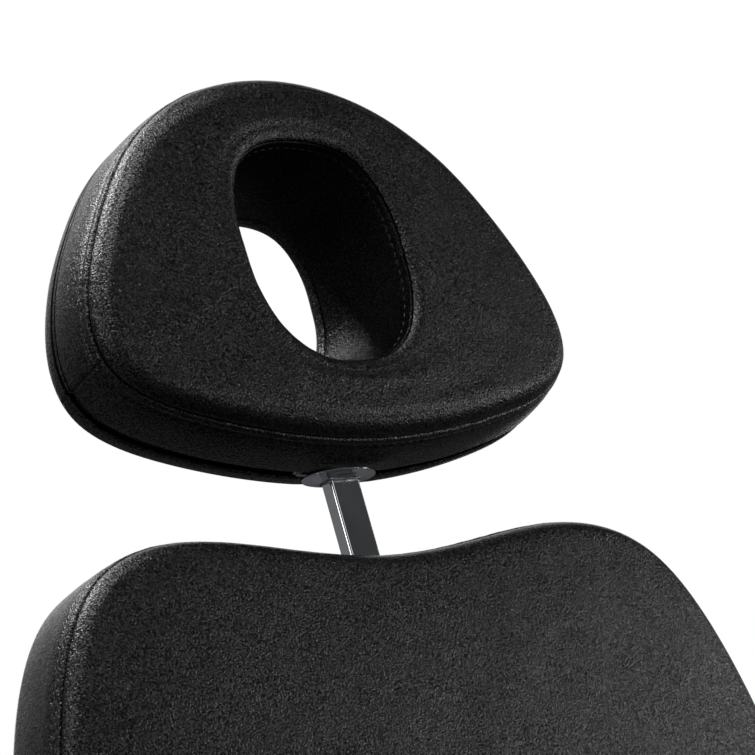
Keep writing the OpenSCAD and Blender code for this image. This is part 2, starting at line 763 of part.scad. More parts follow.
// Arm posts, from a socket under each rail to the pivot
module arm_sockets() {
    color(black_paint) both_sides() translate([0, arm_y, arm_socket_z]) difference() {
        union() {
            rod_x(arm_socket_x, arm_socket_x + socket_l, arm_socket_r);
            translate([rail_x - tube_w / 2, -arm_socket_r, 0])
                cube([tube_w, 2 * arm_socket_r, arm_socket_r]);
        }
        rod_x(arm_socket_x - cut, arm_socket_x + socket_l + cut, post_d / 2 + run_gap);
    }
}
module arm_post() {
    wall = 2 * sheet;
    bend_x = arm_x - bend_r;
    color(bright) translate([0, arm_y, 0]) {
        translate([0, 0, arm_socket_z]) difference() {
            rod_x(arm_socket_x + cap_t, bend_x, post_d / 2);
            rod_x(arm_socket_x, bend_x + cut, post_d / 2 - wall);
        }
        translate([bend_x, 0, arm_socket_z + bend_r]) rotate([90, 0, 0]) rotate([0, 0, -90])
            rotate_extrude(angle = 90, $fn = 2 * fine) translate([bend_r, 0]) difference() {
                circle(post_d / 2, $fn = fine);
                circle(post_d / 2 - wall, $fn = fine);
            }
        translate([arm_x, 0, arm_socket_z + bend_r]) difference() {
            cylinder(h = post_top - arm_socket_z - bend_r, d = post_d, $fn = fine);
            translate([0, 0, -cut])
                cylinder(h = post_top - arm_socket_z - bend_r - wall, d = post_d - 2 * wall, $fn = fine);
        }
        difference() {
            plate_yz(arm_x - tongue_t / 2, tongue_t) {
                translate([-tongue_r, post_top]) square([2 * tongue_r, post_drop]);
                translate([0, arm_pivot_z]) circle(tongue_r, $fn = fine);
            }
            translate([0, 0, arm_pivot_z]) rod_x(arm_x - post_d, arm_x + post_d, arm_pin_d / 2 + run_gap);
        }
        translate([arm_x - tongue_t / 2, -arm_slot_l - stop_l, post_top - cap_t])
            cube([tongue_t, arm_slot_l + stop_l, cap_t]);
        translate([arm_x - tongue_t / 2, -arm_slot_l - stop_l, post_top - cap_t])
            cube([tongue_t, stop_l, arm_pivot_z - arm_rail_h / 2 - seat_gap - post_top + cap_t]);
    }
}
module arm_post_left() { mirror([1, 0, 0]) arm_post(); }
module arm_post_right() { arm_post(); }
module arm_pins() {
    color(bright) both_sides() translate([0, arm_y, arm_pivot_z]) {
        rod_x(arm_x - arm_rail_w / 2 - cap_t, arm_x + arm_rail_w / 2, arm_pin_d / 2);
        rod_x(arm_x + arm_rail_w / 2, arm_x + arm_rail_w / 2 + cap_t, arm_pin_d / 2 + cap_t);
    }
}
module arm_rail() {
    color(bright) translate([arm_x, arm_y, arm_pivot_z]) difference() {
        union() {
            translate([-arm_rail_w / 2, -arm_rail_l, -arm_rail_h / 2])
                cube([arm_rail_w, arm_rail_l + arm_rail_rear, arm_rail_h]);
            for (y = [-arm_rail_l, -bend_r]) translate([-arm_rail_w / 2, y, arm_rail_h / 2])
                cube([arm_rail_w, arm_rail_w, arm_seat_t]);
        }
        translate([-tongue_t / 2 - tongue_play, -arm_slot_l, -arm_rail_h])
            cube([tongue_t + 2 * tongue_play, arm_slot_l + arm_rail_rear + cut, 2 * arm_rail_h]);
        rod_x(-arm_rail_w, arm_rail_w, arm_pin_d / 2 + run_gap);
    }
}
module arm_rail_left() { mirror([1, 0, 0]) arm_rail(); }
module arm_rail_right() { arm_rail(); }
module arm_pad() {
    band = arm_t - arm_crown;
    loop = arm_loop();
    rings = concat(
        [for (s = crown_shares) at_z(toward(loop, arm_c, s[0]), arm_crown * s[1])],
        [at_z(loop, 0), at_z(inset(loop, -bulge), -band / 2), at_z(loop, -band)]);
    color(black_cover)
        translate([arm_x + arm_pad_out, arm_y + arm_pad_rear - arm_l, arm_pivot_z + arm_pad_up + band])
            ring_solid(rings, [[0, arm_l / 2, arm_crown], [0, arm_l / 2, -band]]);
}
module arm_pad_left() { mirror([1, 0, 0]) arm_pad(); }
module arm_pad_right() { arm_pad(); }

// Backrest frame: two slotted hinge plates joined by flat bars
module back_frame() {
    mid = back_rear - arm_r;
    color(black_paint) on_back() {
        both_sides() plate_yz(plate_x, plate_t) difference() {
            union() {
                boss([0, 0], pin_boss_r);
                strap([0, 0], [0, -back_slot_r], strap_half);
                translate([-strap_half, mid - arm_r]) square([back_arm_l + strap_half, 2 * arm_r]);
                boss([back_arm_l, mid], arm_r);
                ring_sector(back_slot_r - slot_half - slot_wall, back_slot_r + slot_half + slot_wall,
                    back_bolt_a - back_steepest - plate_spare, back_bolt_a + plate_spare);
            }
            circle(pin_d / 2 + run_gap, $fn = fine);
            arc_slot(back_slot_r, slot_half,
                back_bolt_a - back_steepest - slot_spare, back_bolt_a + slot_spare);
        }
        for (y = back_bar_ys) difference() {
            translate([seat_gap - plate_x, y - crossbar_w / 2, back_rear - crossbar_t])
                cube([2 * (plate_x - seat_gap), crossbar_w, crossbar_t]);
            back_screw_places(y) translate([0, 0, -crossbar_t - cut])
                cylinder(h = crossbar_t + 2 * cut, d = screw_hole, $fn = fine);
        }
    }
}
module back_screw_places(y) {
    for (x = [-1, 0, 1]) translate([x * plate_x * 2 / 3, y, back_rear]) children();
}
module at_back_pad() { on_back() translate([0, back_gap, hinge_under_rim]) children(); }
module back_board() {
    color(ply) difference() {
        at_back_pad() board(back_loop(), back_t);
        on_back() {
            for (y = back_bar_ys) back_screw_places(y) translate([0, 0, -cut])
                cylinder(h = screw_bite + cut, d = screw_hole, $fn = fine);
            translate([0, knob_y, back_rear - cut])
                cylinder(h = board_t + 2 * cut, d = bush_hole, $fn = fine);
        }
    }
}
module back_cushion() {
    color(black_cover) difference() {
        at_back_pad() pad(back_loop(), back_c, back_t, back_crown);
        on_back() {
            translate([-block_w / 2 - seat_gap, block_bottom_y - seat_gap, block_z - cut])
                cube([block_w + 2 * seat_gap, block_top_y - block_bottom_y + 2 * seat_gap, block_t + cut]);
            translate([0, socket_bottom_y - seat_gap, bar_z]) rotate([-90, 0, 0]) linear_extrude(back_l)
                square([socket_w + 2 * seat_gap, socket_t + 2 * seat_gap], center = true);
            translate([0, dip_y + flange_out, bar_z]) flange_seat();
        }
    }
}
module back_screws() {
    color("#8d9094") on_back() for (y = back_bar_ys) back_screw_places(y)
        translate([0, 0, -crossbar_t]) pan_screw(crossbar_t + screw_bite - seat_gap);
}

// Socket for the headrest's bar, on a block in the backrest's foam
module socket_block() {
    color(ply) on_back() difference() {
        translate([-block_w / 2, block_bottom_y, block_z])
            cube([block_w, block_top_y - block_bottom_y, block_t]);
        translate([0, knob_y, block_z - cut]) cylinder(h = block_t + 2 * cut, d = bush_hole, $fn = fine);
    }
}
module bar_socket() {
    color(bright) on_back() difference() {
        translate([0, socket_bottom_y, bar_z]) rotate([-90, 0, 0])
            linear_extrude(socket_top_y - socket_bottom_y) difference() {
                round_rect(socket_w, socket_t, bar_round);
                round_rect(socket_w - 2 * socket_wall, socket_t - 2 * socket_wall, bar_round / 2);
            }
        translate([0, knob_y, block_z]) cylinder(h = bar_z - block_z, d = stem_hole, $fn = fine);
    }
}
module socket_liner() {
    w = socket_w - 2 * socket_wall;
    t = socket_t - 2 * socket_wall;
    color("#3a3a3c") on_back() difference() {
        translate([0, socket_bottom_y, bar_z]) rotate([-90, 0, 0])
            linear_extrude(socket_top_y - socket_bottom_y) difference() {
                round_rect(w, t, bar_round / 2);
                square([w - 2 * liner_t, t - 2 * liner_t], center = true);
            }
        translate([0, knob_y, block_z]) cylinder(h = bar_z - block_z, d = stem_hole, $fn = fine);
    }
}
// Flat that a flange presses into an edge's bulge, and the oval dished flange, underside at y = 0
module flange_seat() {
    translate([-flange_w / 2 - seat_gap, -seat_gap, -flange_d / 2 - seat_gap])
        cube([flange_w + 2 * seat_gap, flange_d, flange_d + 2 * seat_gap]);
}
module oval_flange() {
    r = flange_d / 2;
    half = (flange_w - flange_d) / 2;
    rim = flange_h / 4;
    profile = [[0, 0], [r, 0], [r, rim], [r * 0.86, flange_h * 0.55], [r * 0.74, flange_h], [0, flange_h]];
    rotate([-90, 0, 0]) difference() {
        union() {
            for (s = [0, 180]) rotate(s) translate([half, 0, 0])
                rotate([0, 0, -90]) rotate_extrude(angle = 180, $fn = 2 * fine) polygon(profile);
            for (s = [0, 180]) rotate(s) translate([half, 0, 0]) rotate([90, 0, -90])
                linear_extrude(2 * half) polygon(profile);
        }
        translate([0, 0, -cut]) linear_extrude(flange_h + 2 * cut)
            round_rect(bar_w + 2 * bar_play, bar_t + 2 * bar_play, bar_round);
    }
}
module socket_flange() {
    color(bright) on_back() translate([0, dip_y + flange_out, bar_z]) oval_flange();
}
module knob_bush() {
    color("#8d9094") on_back() translate([0, knob_y, back_rear]) difference() {
        cylinder(h = board_t + block_t, d = bush_d, $fn = fine);
        translate([0, 0, -cut]) cylinder(h = board_t + block_t + 2 * cut, d = stem_bore, $fn = fine);
    }
}
module knob_stem() {
    tip = bar_z - bar_t / 2 - seat_gap;
    base = back_rear - knob_gap - knob_h / 2;
    color("#8d9094") on_back() translate([0, knob_y, base]) cylinder(h = tip - base, d = stem_d, $fn = fine);
}
module knob_grip() {
    color(rubber) on_back() translate([0, knob_y, back_rear - knob_gap]) mirror([0, 0, 1]) difference() {
        union() {
            cylinder(h = knob_h, d = knob_d - lobe_d, $fn = fine);
            for (i = [0 : knob_lobes - 1]) rotate(i * 360 / knob_lobes)
                translate([(knob_d - lobe_d) / 2, 0, 0]) cylinder(h = knob_h, d = lobe_d, $fn = fine);
        }
        translate([0, 0, -cut]) cylinder(h = knob_h / 2 + cut, d = stem_bore, $fn = fine);
    }
}

// Headrest and its bar, with the plate that screws to the board
module headrest_bar() {
    y0 = bar_bottom_y - head_y;
    plate_top = bar_plate_y + bar_plate_h;
    color(bright) on_head() difference() {
        union() {
            translate([0, y0, -bar_depth]) rotate([-90, 0, 0])
                linear_extrude(plate_top - y0) difference() {
                    round_rect(bar_w, bar_t, bar_round);
                    square([bar_w - 2 * bar_round, bar_t - 2 * bar_round], center = true);
                }
            translate([-bar_plate_w / 2, bar_plate_y, front_pocket_z])
                cube([bar_plate_w, bar_plate_h, bar_plate_t]);
        }
        head_screw_places() translate([0, 0, -cut])
            cylinder(h = bar_plate_t + 2 * cut, d = screw_hole, $fn = fine);
    }
}
module head_screw_places() {
    for (x = [-1, -0.5, 0.5, 1])
        translate([x * (bar_plate_w - bar_plate_h) / 2, bar_plate_y + bar_plate_h / 2, front_pocket_z])
            children();
}
module headrest_screws() {
    color("#8d9094") on_head() head_screw_places() translate([0, 0, bar_plate_t]) rotate([180, 0, 0])
        pan_screw(bar_plate_t + screw_bite);
}
module bar_plug() {
    inner = [bar_w, bar_t] - 2 * (bar_round + run_gap) * [1, 1];
    color(rubber) on_head() translate([0, bar_bottom_y - head_y - plug_h / 2, -bar_depth])
        rotate([-90, 0, 0]) {
            linear_extrude(plug_h / 2) round_rect(bar_w, bar_t, bar_round);
            linear_extrude(2 * plug_h) square(inner, center = true);
        }
}
module headrest_board() {
    color(ply) on_head() difference() {
        translate([0, 0, head_board_z]) linear_extrude(board_t) difference() {
            polygon(inset(head_loop(), head_pocket));
            polygon(inset(hole_at(-head_t), -head_pocket));
        }
        head_screw_places() translate([0, 0, -screw_bite - seat_gap])
            cylinder(h = screw_bite + 2 * cut, d = screw_hole, $fn = fine);
    }
}
module headrest_cushion() {
    outer = head_loop();
    inner = hole_loop();
    inner_rear = hole_at(-head_t);
    rings = concat(
        [for (s = collar_shares) at_z(between(inner, outer, s[0]), head_crown * s[1])],
        [at_z(outer, 0), at_z(inset(flared(outer, 1 / 2), -bulge), -head_t / 2)],
        [at_z(flared(outer, 1), -head_t)],
        [for (z = [-head_t, front_pocket_z]) at_z(inset(outer, head_pocket), z)],
        [for (z = [front_pocket_z, -head_t]) at_z(inset(inner_rear, -head_pocket), z)],
        [at_z(inner_rear, -head_t)]);
    color(black_cover) on_head() difference() {
        ring_solid(rings);
        translate([0, -head_h, -bar_depth]) rotate([-90, 0, 0])
            linear_extrude(head_h + bar_plate_y + bar_plate_h + seat_gap)
                square([bar_w + 2 * seat_gap, bar_t + 2 * seat_gap], center = true);
        translate([0, head_flange_y, -bar_depth]) mirror([0, 1, 0]) flange_seat();
        translate([-bar_plate_w / 2 - seat_gap, bar_plate_y - seat_gap, front_pocket_z - cut])
            cube([bar_plate_w + 2 * seat_gap, bar_plate_h + 2 * seat_gap, bar_plate_t + seat_gap + cut]);
        head_screw_places() cylinder(h = bar_plate_t + screw_head_h + seat_gap,
            d = screw_head_d + 2 * seat_gap, $fn = fine);
    }
}
module headrest_rear_pad() {
    front = -head_t - seat_gap;
    edge = inset(flared(head_loop(), 1), rear_set);
    recess = inset(head_loop(), head_pocket - seat_gap);
    inner = hole_at(hole_top - hole_depth);
    inner_front = hole_at(front);
    inner_recess = inset(hole_at(-head_t), seat_gap - head_pocket);
    rings = concat(
        [at_z(recess, head_board_z), at_z(recess, front), at_z(edge, front)],
        [for (i = [len(dome_shares) - 1 : -1 : 0]) at_z(
            between(inner, edge, dome_shares[i][0]), -head_t - head_rear_crown * dome_shares[i][1])],
        [at_z(inner_front, front), at_z(inner_recess, front), at_z(inner_recess, head_board_z)]);
    color(black_cover) on_head() ring_solid(rings);
}
module headrest_flange() {
    color(bright) on_head() translate([0, head_flange_y, -bar_depth])
        mirror([0, 1, 0]) oval_flange();
}

// Clamping levers on the right side: a bolt, a boss and a rod with a grip
module lever(a) {
    x0 = hinge_x + plate_t + seat_gap;
    rod_x(plate_x - nut_t - play_x, x0 + cut, bolt_d / 2);
    rod_x(x0, x0 + boss_l, boss_d / 2);
    translate([x0 + boss_l / 2, 0, 0]) rotate([a, 0, 0]) rod_y(0, lever_l, lever_d / 2);
}
module lever_grip(a) {
    x0 = hinge_x + plate_t + seat_gap;
    r = grip_d / 2;
    y0 = lever_l - grip_l * 0.9;
    bore = lever_d / 2 + run_gap;
    translate([x0 + boss_l / 2, 0, 0]) rotate([a, 0, 0]) translate([0, y0, 0]) rotate([-90, 0, 0])
        difference() {
            rotate_extrude($fn = fine) polygon([[0, 0], [r * 0.62, 0], [r * 0.66, grip_l * 0.3],
                [r * 0.9, grip_l * 0.6], [r, grip_l * 0.8], [r * 0.9, grip_l * 0.93],
                [r * 0.6, grip_l], [0, grip_l]]);
            translate([0, 0, -cut]) cylinder(h = lever_l - y0 + cut + seat_gap, r = bore, $fn = fine);
        }
}
module back_lever() { color(bright) at_yz(back_bolt) lever(back_lever_a); }
module back_lever_grip() { color(rubber) at_yz(back_bolt) lever_grip(back_lever_a); }
module leg_lever() { color(bright) at_yz(leg_bolt) lever(leg_lever_a); }
module leg_lever_grip() { color(rubber) at_yz(leg_bolt) lever_grip(leg_lever_a); }

// Leg rest
module leg_frame() {
    color(black_paint) on_leg() {
        both_sides() plate_yz(plate_x, plate_t) difference() {
            union() {
                round_bar(-leg_arm_l, 0, 0, arm_r);
                strap([0, 0], polar(leg_slot_r - slot_half, leg_spoke_a), strap_half);
                ring_sector(leg_slot_r - slot_half - slot_wall, leg_slot_r + slot_half + slot_wall,
                    leg_web_a, -90 + plate_spare);
            }
            circle(pin_d / 2 + run_gap, $fn = fine);
            arc_slot(leg_slot_r, slot_half, -90 - leg_steepest - slot_spare, -90 + slot_spare);
        }
        for (y = leg_bar_ys) difference() {
            translate([seat_gap - plate_x, y - crossbar_w / 2, arm_r - crossbar_t])
                cube([2 * (plate_x - seat_gap), crossbar_w, crossbar_t]);
            leg_screw_places(y) translate([0, 0, -crossbar_t - cut])
                cylinder(h = crossbar_t + 2 * cut, d = screw_hole, $fn = fine);
        }
    }
}
module leg_screw_places(y) {
    for (x = [-1, 1]) translate([x * plate_x * 2 / 3, y, arm_r]) children();
}
module at_leg_pad() { on_leg() translate([0, -leg_gap - leg_l, arm_r + leg_t]) children(); }
module leg_board() {
    color(ply) difference() {
        at_leg_pad() board(leg_loop(), leg_t);
        on_leg() for (y = leg_bar_ys) leg_screw_places(y) translate([0, 0, -cut])
            cylinder(h = screw_bite + cut, d = screw_hole, $fn = fine);
    }
}
module leg_cushion() { color(black_cover) at_leg_pad() pad(leg_loop(), leg_c, leg_t, leg_crown); }
module leg_screws() {
    color("#8d9094") on_leg() for (y = leg_bar_ys) leg_screw_places(y)
        translate([0, 0, -crossbar_t]) pan_screw(crossbar_t + screw_bite - seat_gap);
}

floor_pad();
base_plate();
base_cover();
base_bolts();
pump_body();
column_shroud();
column_seal();
pedal_pin();
pedal_lever();
pedal_pad();
ram();
thrust_washer();
swivel_hub();
column_sleeve();
hub_bolts();
frame_rails();
frame_crossbars();
rail_caps();
hinge_brackets();
hinge_pins();
guide_bolts();
clamp_nuts();
seat_board();
seat_cushion();
seat_screws();
arm_sockets();
arm_post_left();
arm_post_right();
arm_pins();
arm_rail_left();
arm_rail_right();
arm_pad_left();
arm_pad_right();
back_frame();
back_board();
back_cushion();
back_screws();
socket_block();
bar_socket();
socket_liner();
socket_flange();
knob_bush();
knob_grip();
knob_stem();
headrest_bar();
bar_plug();
headrest_board();
headrest_cushion();
headrest_rear_pad();
headrest_flange();
headrest_screws();
back_lever();
back_lever_grip();
leg_lever();
leg_lever_grip();
leg_frame();
leg_board();
leg_cushion();
leg_screws();
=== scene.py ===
import bpy
import bmesh
import math
from mathutils import Matrix, Vector, noise
from mathutils.bvhtree import BVHTree


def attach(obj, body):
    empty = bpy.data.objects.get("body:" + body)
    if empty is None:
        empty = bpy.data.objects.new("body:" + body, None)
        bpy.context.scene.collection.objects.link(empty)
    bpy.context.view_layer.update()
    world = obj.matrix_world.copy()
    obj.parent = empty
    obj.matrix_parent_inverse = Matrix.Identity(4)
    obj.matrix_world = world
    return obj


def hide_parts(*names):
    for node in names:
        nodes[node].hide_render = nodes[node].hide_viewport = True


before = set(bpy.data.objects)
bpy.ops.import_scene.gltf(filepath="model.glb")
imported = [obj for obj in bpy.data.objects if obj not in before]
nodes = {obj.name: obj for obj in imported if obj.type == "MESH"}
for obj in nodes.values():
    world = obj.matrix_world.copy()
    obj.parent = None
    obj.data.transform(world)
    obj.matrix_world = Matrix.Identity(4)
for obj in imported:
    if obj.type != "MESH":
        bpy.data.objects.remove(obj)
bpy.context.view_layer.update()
scene = bpy.context.scene
mm = 0.001
print("frame loaded:", len(nodes), "nodes")


# camera, matched to the seams of the headrest and the backrest in the photo
cameraSet = {
    "place": (-1.08453, -0.81865, 1.26266),
    "right": (0.785772, -0.618508, -0.003174),
    "up": (0.005442, 0.001783, 0.999984),
    "back": (-0.618492, -0.785777, 0.004767),
    "lens": 124.328,
}
camData = bpy.data.cameras.new("photoCamera")
camData.lens = cameraSet["lens"]
camData.sensor_width = 36
camData.clip_start = 0.05
camData.clip_end = 60
camera = bpy.data.objects.new("photoCamera", camData)
scene.collection.objects.link(camera)
turned = Matrix((cameraSet["right"], cameraSet["up"], cameraSet["back"])).transposed().to_4x4()
camera.matrix_world = Matrix.Translation(cameraSet["place"]) @ turned
scene.camera = camera
print("camera set")


# each part's own frame: x across it, y along its face, z out of the face
def tilted(degrees, origin):
    return Matrix.Translation(origin) @ Matrix.Rotation(math.radians(degrees), 4, "X")


backFrame = tilted(65, (0, 0.272, 0.484))
headFrame = backFrame @ Matrix.Translation((0, 0.9227, 0.041))
backPadFrame = backFrame @ Matrix.Translation((0, 0.022, 0.026))
seatFrame = Matrix.Translation((0, -0.26, 0.51))
legFrame = tilted(50, (0, -0.278, 0.422)) @ Matrix.Translation((0, -0.448, 0.088))


# node and material helpers
def srgb(code):
    parts = [int(code[i:i + 2], 16) / 255 for i in (1, 3, 5)]
    return tuple(c / 12.92 if c <= 0.04045 else ((c + 0.055) / 1.055) ** 2.4 for c in parts) + (1,)


def addNode(tree, kind, inputs=None, links=None, **settings):
    node = tree.nodes.new(kind)
    for key, value in settings.items():
        setattr(node, key, value)
    for key, value in (inputs or {}).items():
        node.inputs[key].default_value = value
    for key, source in (links or {}).items():
        tree.links.new(source, node.inputs[key])
    return node


def startMaterial(name, turn=0, shader=None):
    material = bpy.data.materials.new(name)
    material.use_nodes = True
    tree = material.node_tree
    tree.nodes.clear()
    out = addNode(tree, "ShaderNodeOutputMaterial")
    surface = addNode(tree, "ShaderNodeBsdfPrincipled", shader or {})
    tree.links.new(surface.outputs[0], out.inputs[0])
    place = addNode(tree, "ShaderNodeTexCoord")
    mapping = addNode(tree, "ShaderNodeMapping", {"Rotation": (math.radians(-turn), 0, 0)},
                      {"Vector": place.outputs["Object"]})
    return material, tree, surface, mapping.outputs[0]


def grainPattern(tree, place, size, detail=2.0, stretch=(1, 1, 1), roughness=0.5):
    # noise whose features are about size metres across
    sized = addNode(tree, "ShaderNodeMapping", {"Scale": stretch}, {"Vector": place})
    return addNode(tree, "ShaderNodeTexNoise",
                   {"Scale": 1 / size, "Detail": detail, "Roughness": roughness},
                   {"Vector": sized.outputs[0]}).outputs[0]


def rangeOf(tree, value, low, high, toLow, toHigh):
    return addNode(tree, "ShaderNodeMapRange",
                   {"From Min": low, "From Max": high, "To Min": toLow, "To Max": toHigh},
                   {"Value": value}, interpolation_type="SMOOTHSTEP").outputs[0]


def mathOf(tree, operation, a, b):
    links = {0: a}
    inputs = {}
    if isinstance(b, (int, float)):
        inputs[1] = b
    else:
        links[1] = b
    return addNode(tree, "ShaderNodeMath", inputs, links, operation=operation).outputs[0]


def bumpOf(tree, height, distance, under=None):
    links = {"Height": height}
    if under:
        links["Normal"] = under
    return addNode(tree, "ShaderNodeBump", {"Distance": distance, "Strength": 1.0}, links).outputs[0]


# leatherette: polyurethane coat embossed with a fine calf grain over knitted cloth; it gives a deep
# soft black with a broken satin glitter where light grazes it, and faint crease marks along the pad
leatherSet = {
    "dark": "#040404", "light": "#232325", "sheen": (0.12, 0.64),
    "grain": 1.2 * mm, "fine": 1.3 * mm,
    "pebble": 2.6 * mm,
    "broad": 70 * mm, "mottle": 14 * mm,
    "creaseGap": 1.7 * mm, "creaseLength": 30 * mm, "clusterGap": 38 * mm,
    "rough": (0.22, 0.36),
    # how deep each pattern is embossed
    "broadDeep": 1.6 * mm, "creaseDeep": -0.05 * mm, "pebbleDeep": 0.1 * mm, "grainDeep": 0.3 * mm,
    "fineDeep": 0.5 * mm,
}


def leatherette(name, turn, litShare=1.0):
    s = leatherSet
    material, tree, surface, place = startMaterial(name, turn)
    cells = addNode(tree, "ShaderNodeTexVoronoi", {"Scale": 1 / s["grain"], "Randomness": 0.95},
                    {"Vector": place}, feature="SMOOTH_F1").outputs["Distance"]
    fine = grainPattern(tree, place, s["fine"], 1)
    pebbles = grainPattern(tree, place, s["pebble"], 3)
    broad = grainPattern(tree, place, s["broad"], 2)
    mottle = grainPattern(tree, place, s["mottle"], 4)
    squeeze = s["creaseGap"] / s["creaseLength"]
    lines = grainPattern(tree, place, s["creaseGap"], 1.5, (1, squeeze, squeeze))
    cluster = grainPattern(tree, place, s["clusterGap"], 1.5, (1, 0.5, 0.5))
    creases = mathOf(tree, "MULTIPLY", rangeOf(tree, lines, 0.58, 0.68, 0, 1),
                     rangeOf(tree, cluster, 0.5, 0.62, 0, 1))
    tone = mathOf(tree, "ADD", rangeOf(tree, mottle, 0.35, 0.7, 0, 0.16),
                  mathOf(tree, "MULTIPLY", creases, 0.3))
    peaks = rangeOf(tree, fine, 0.42, 0.62, 0, 1)
    tone = mathOf(tree, "ADD", mathOf(tree, "MULTIPLY", peaks, 0.6), tone)
    # a litShare below 1 darkens the tone and the sheen: painted shade for a shaded copy of the
    # leatherette
    tone = mathOf(tree, "MULTIPLY", tone, litShare)
    sheen = rangeOf(tree, fine, 0.36, 0.64, s["sheen"][0] * litShare, s["sheen"][1] * litShare)
    tree.links.new(sheen, surface.inputs["Specular IOR Level"])
    colour = addNode(tree, "ShaderNodeMix", {6: srgb(s["dark"]), 7: srgb(s["light"])}, {0: tone},
                     data_type="RGBA")
    tree.links.new(colour.outputs[2], surface.inputs["Base Color"])
    tree.links.new(rangeOf(tree, pebbles, 0.3, 0.7, *s["rough"]), surface.inputs["Roughness"])
    bump = None
    for pattern, deep in ((broad, "broadDeep"), (creases, "creaseDeep"), (pebbles, "pebbleDeep"),
                          (cells, "grainDeep"), (fine, "fineDeep")):
        bump = bumpOf(tree, pattern, s[deep], bump)
    tree.links.new(bump, surface.inputs["Normal"])
    return material


leathers = {
    "flat": leatherette("leatheretteFlat", 0),
    "back": leatherette("leatheretteBack", 65),
    "leg": leatherette("leatheretteLeg", 50),
    # the lining of the face hole is a painted shade copy of the leatherette: its tone and sheen are
    # scaled down to 0.3, so it stays as dark as the shade inside the hole
    "lining": leatherette("leatheretteShadedLining", 65, 0.3),
}


def plainFinish(name, s):
    # a finish of one colour whose gloss and surface vary as the real making leaves them
    material, tree, surface, place = startMaterial(
        name, 0, {"Metallic": s.get("metal", 0), **s.get("shader", {})})
    spots = grainPattern(tree, place, s["spot"], 4, s.get("stretch", (1, 1, 1)))
    colour = addNode(tree, "ShaderNodeMix", {6: srgb(s["dark"]), 7: srgb(s["light"])},
                     {0: rangeOf(tree, spots, 0.3, 0.7, 0, 1)}, data_type="RGBA")
    tree.links.new(colour.outputs[2], surface.inputs["Base Color"])
    smear = grainPattern(tree, place, s["smear"], 5, s.get("stretch", (1, 1, 1)))
    tree.links.new(rangeOf(tree, smear, 0.3, 0.7, *s["rough"]), surface.inputs["Roughness"])
    peel = grainPattern(tree, place, s["peel"], 2, s.get("stretch", (1, 1, 1)))
    tree.links.new(bumpOf(tree, peel, s["depth"]), surface.inputs["Normal"])
    return material


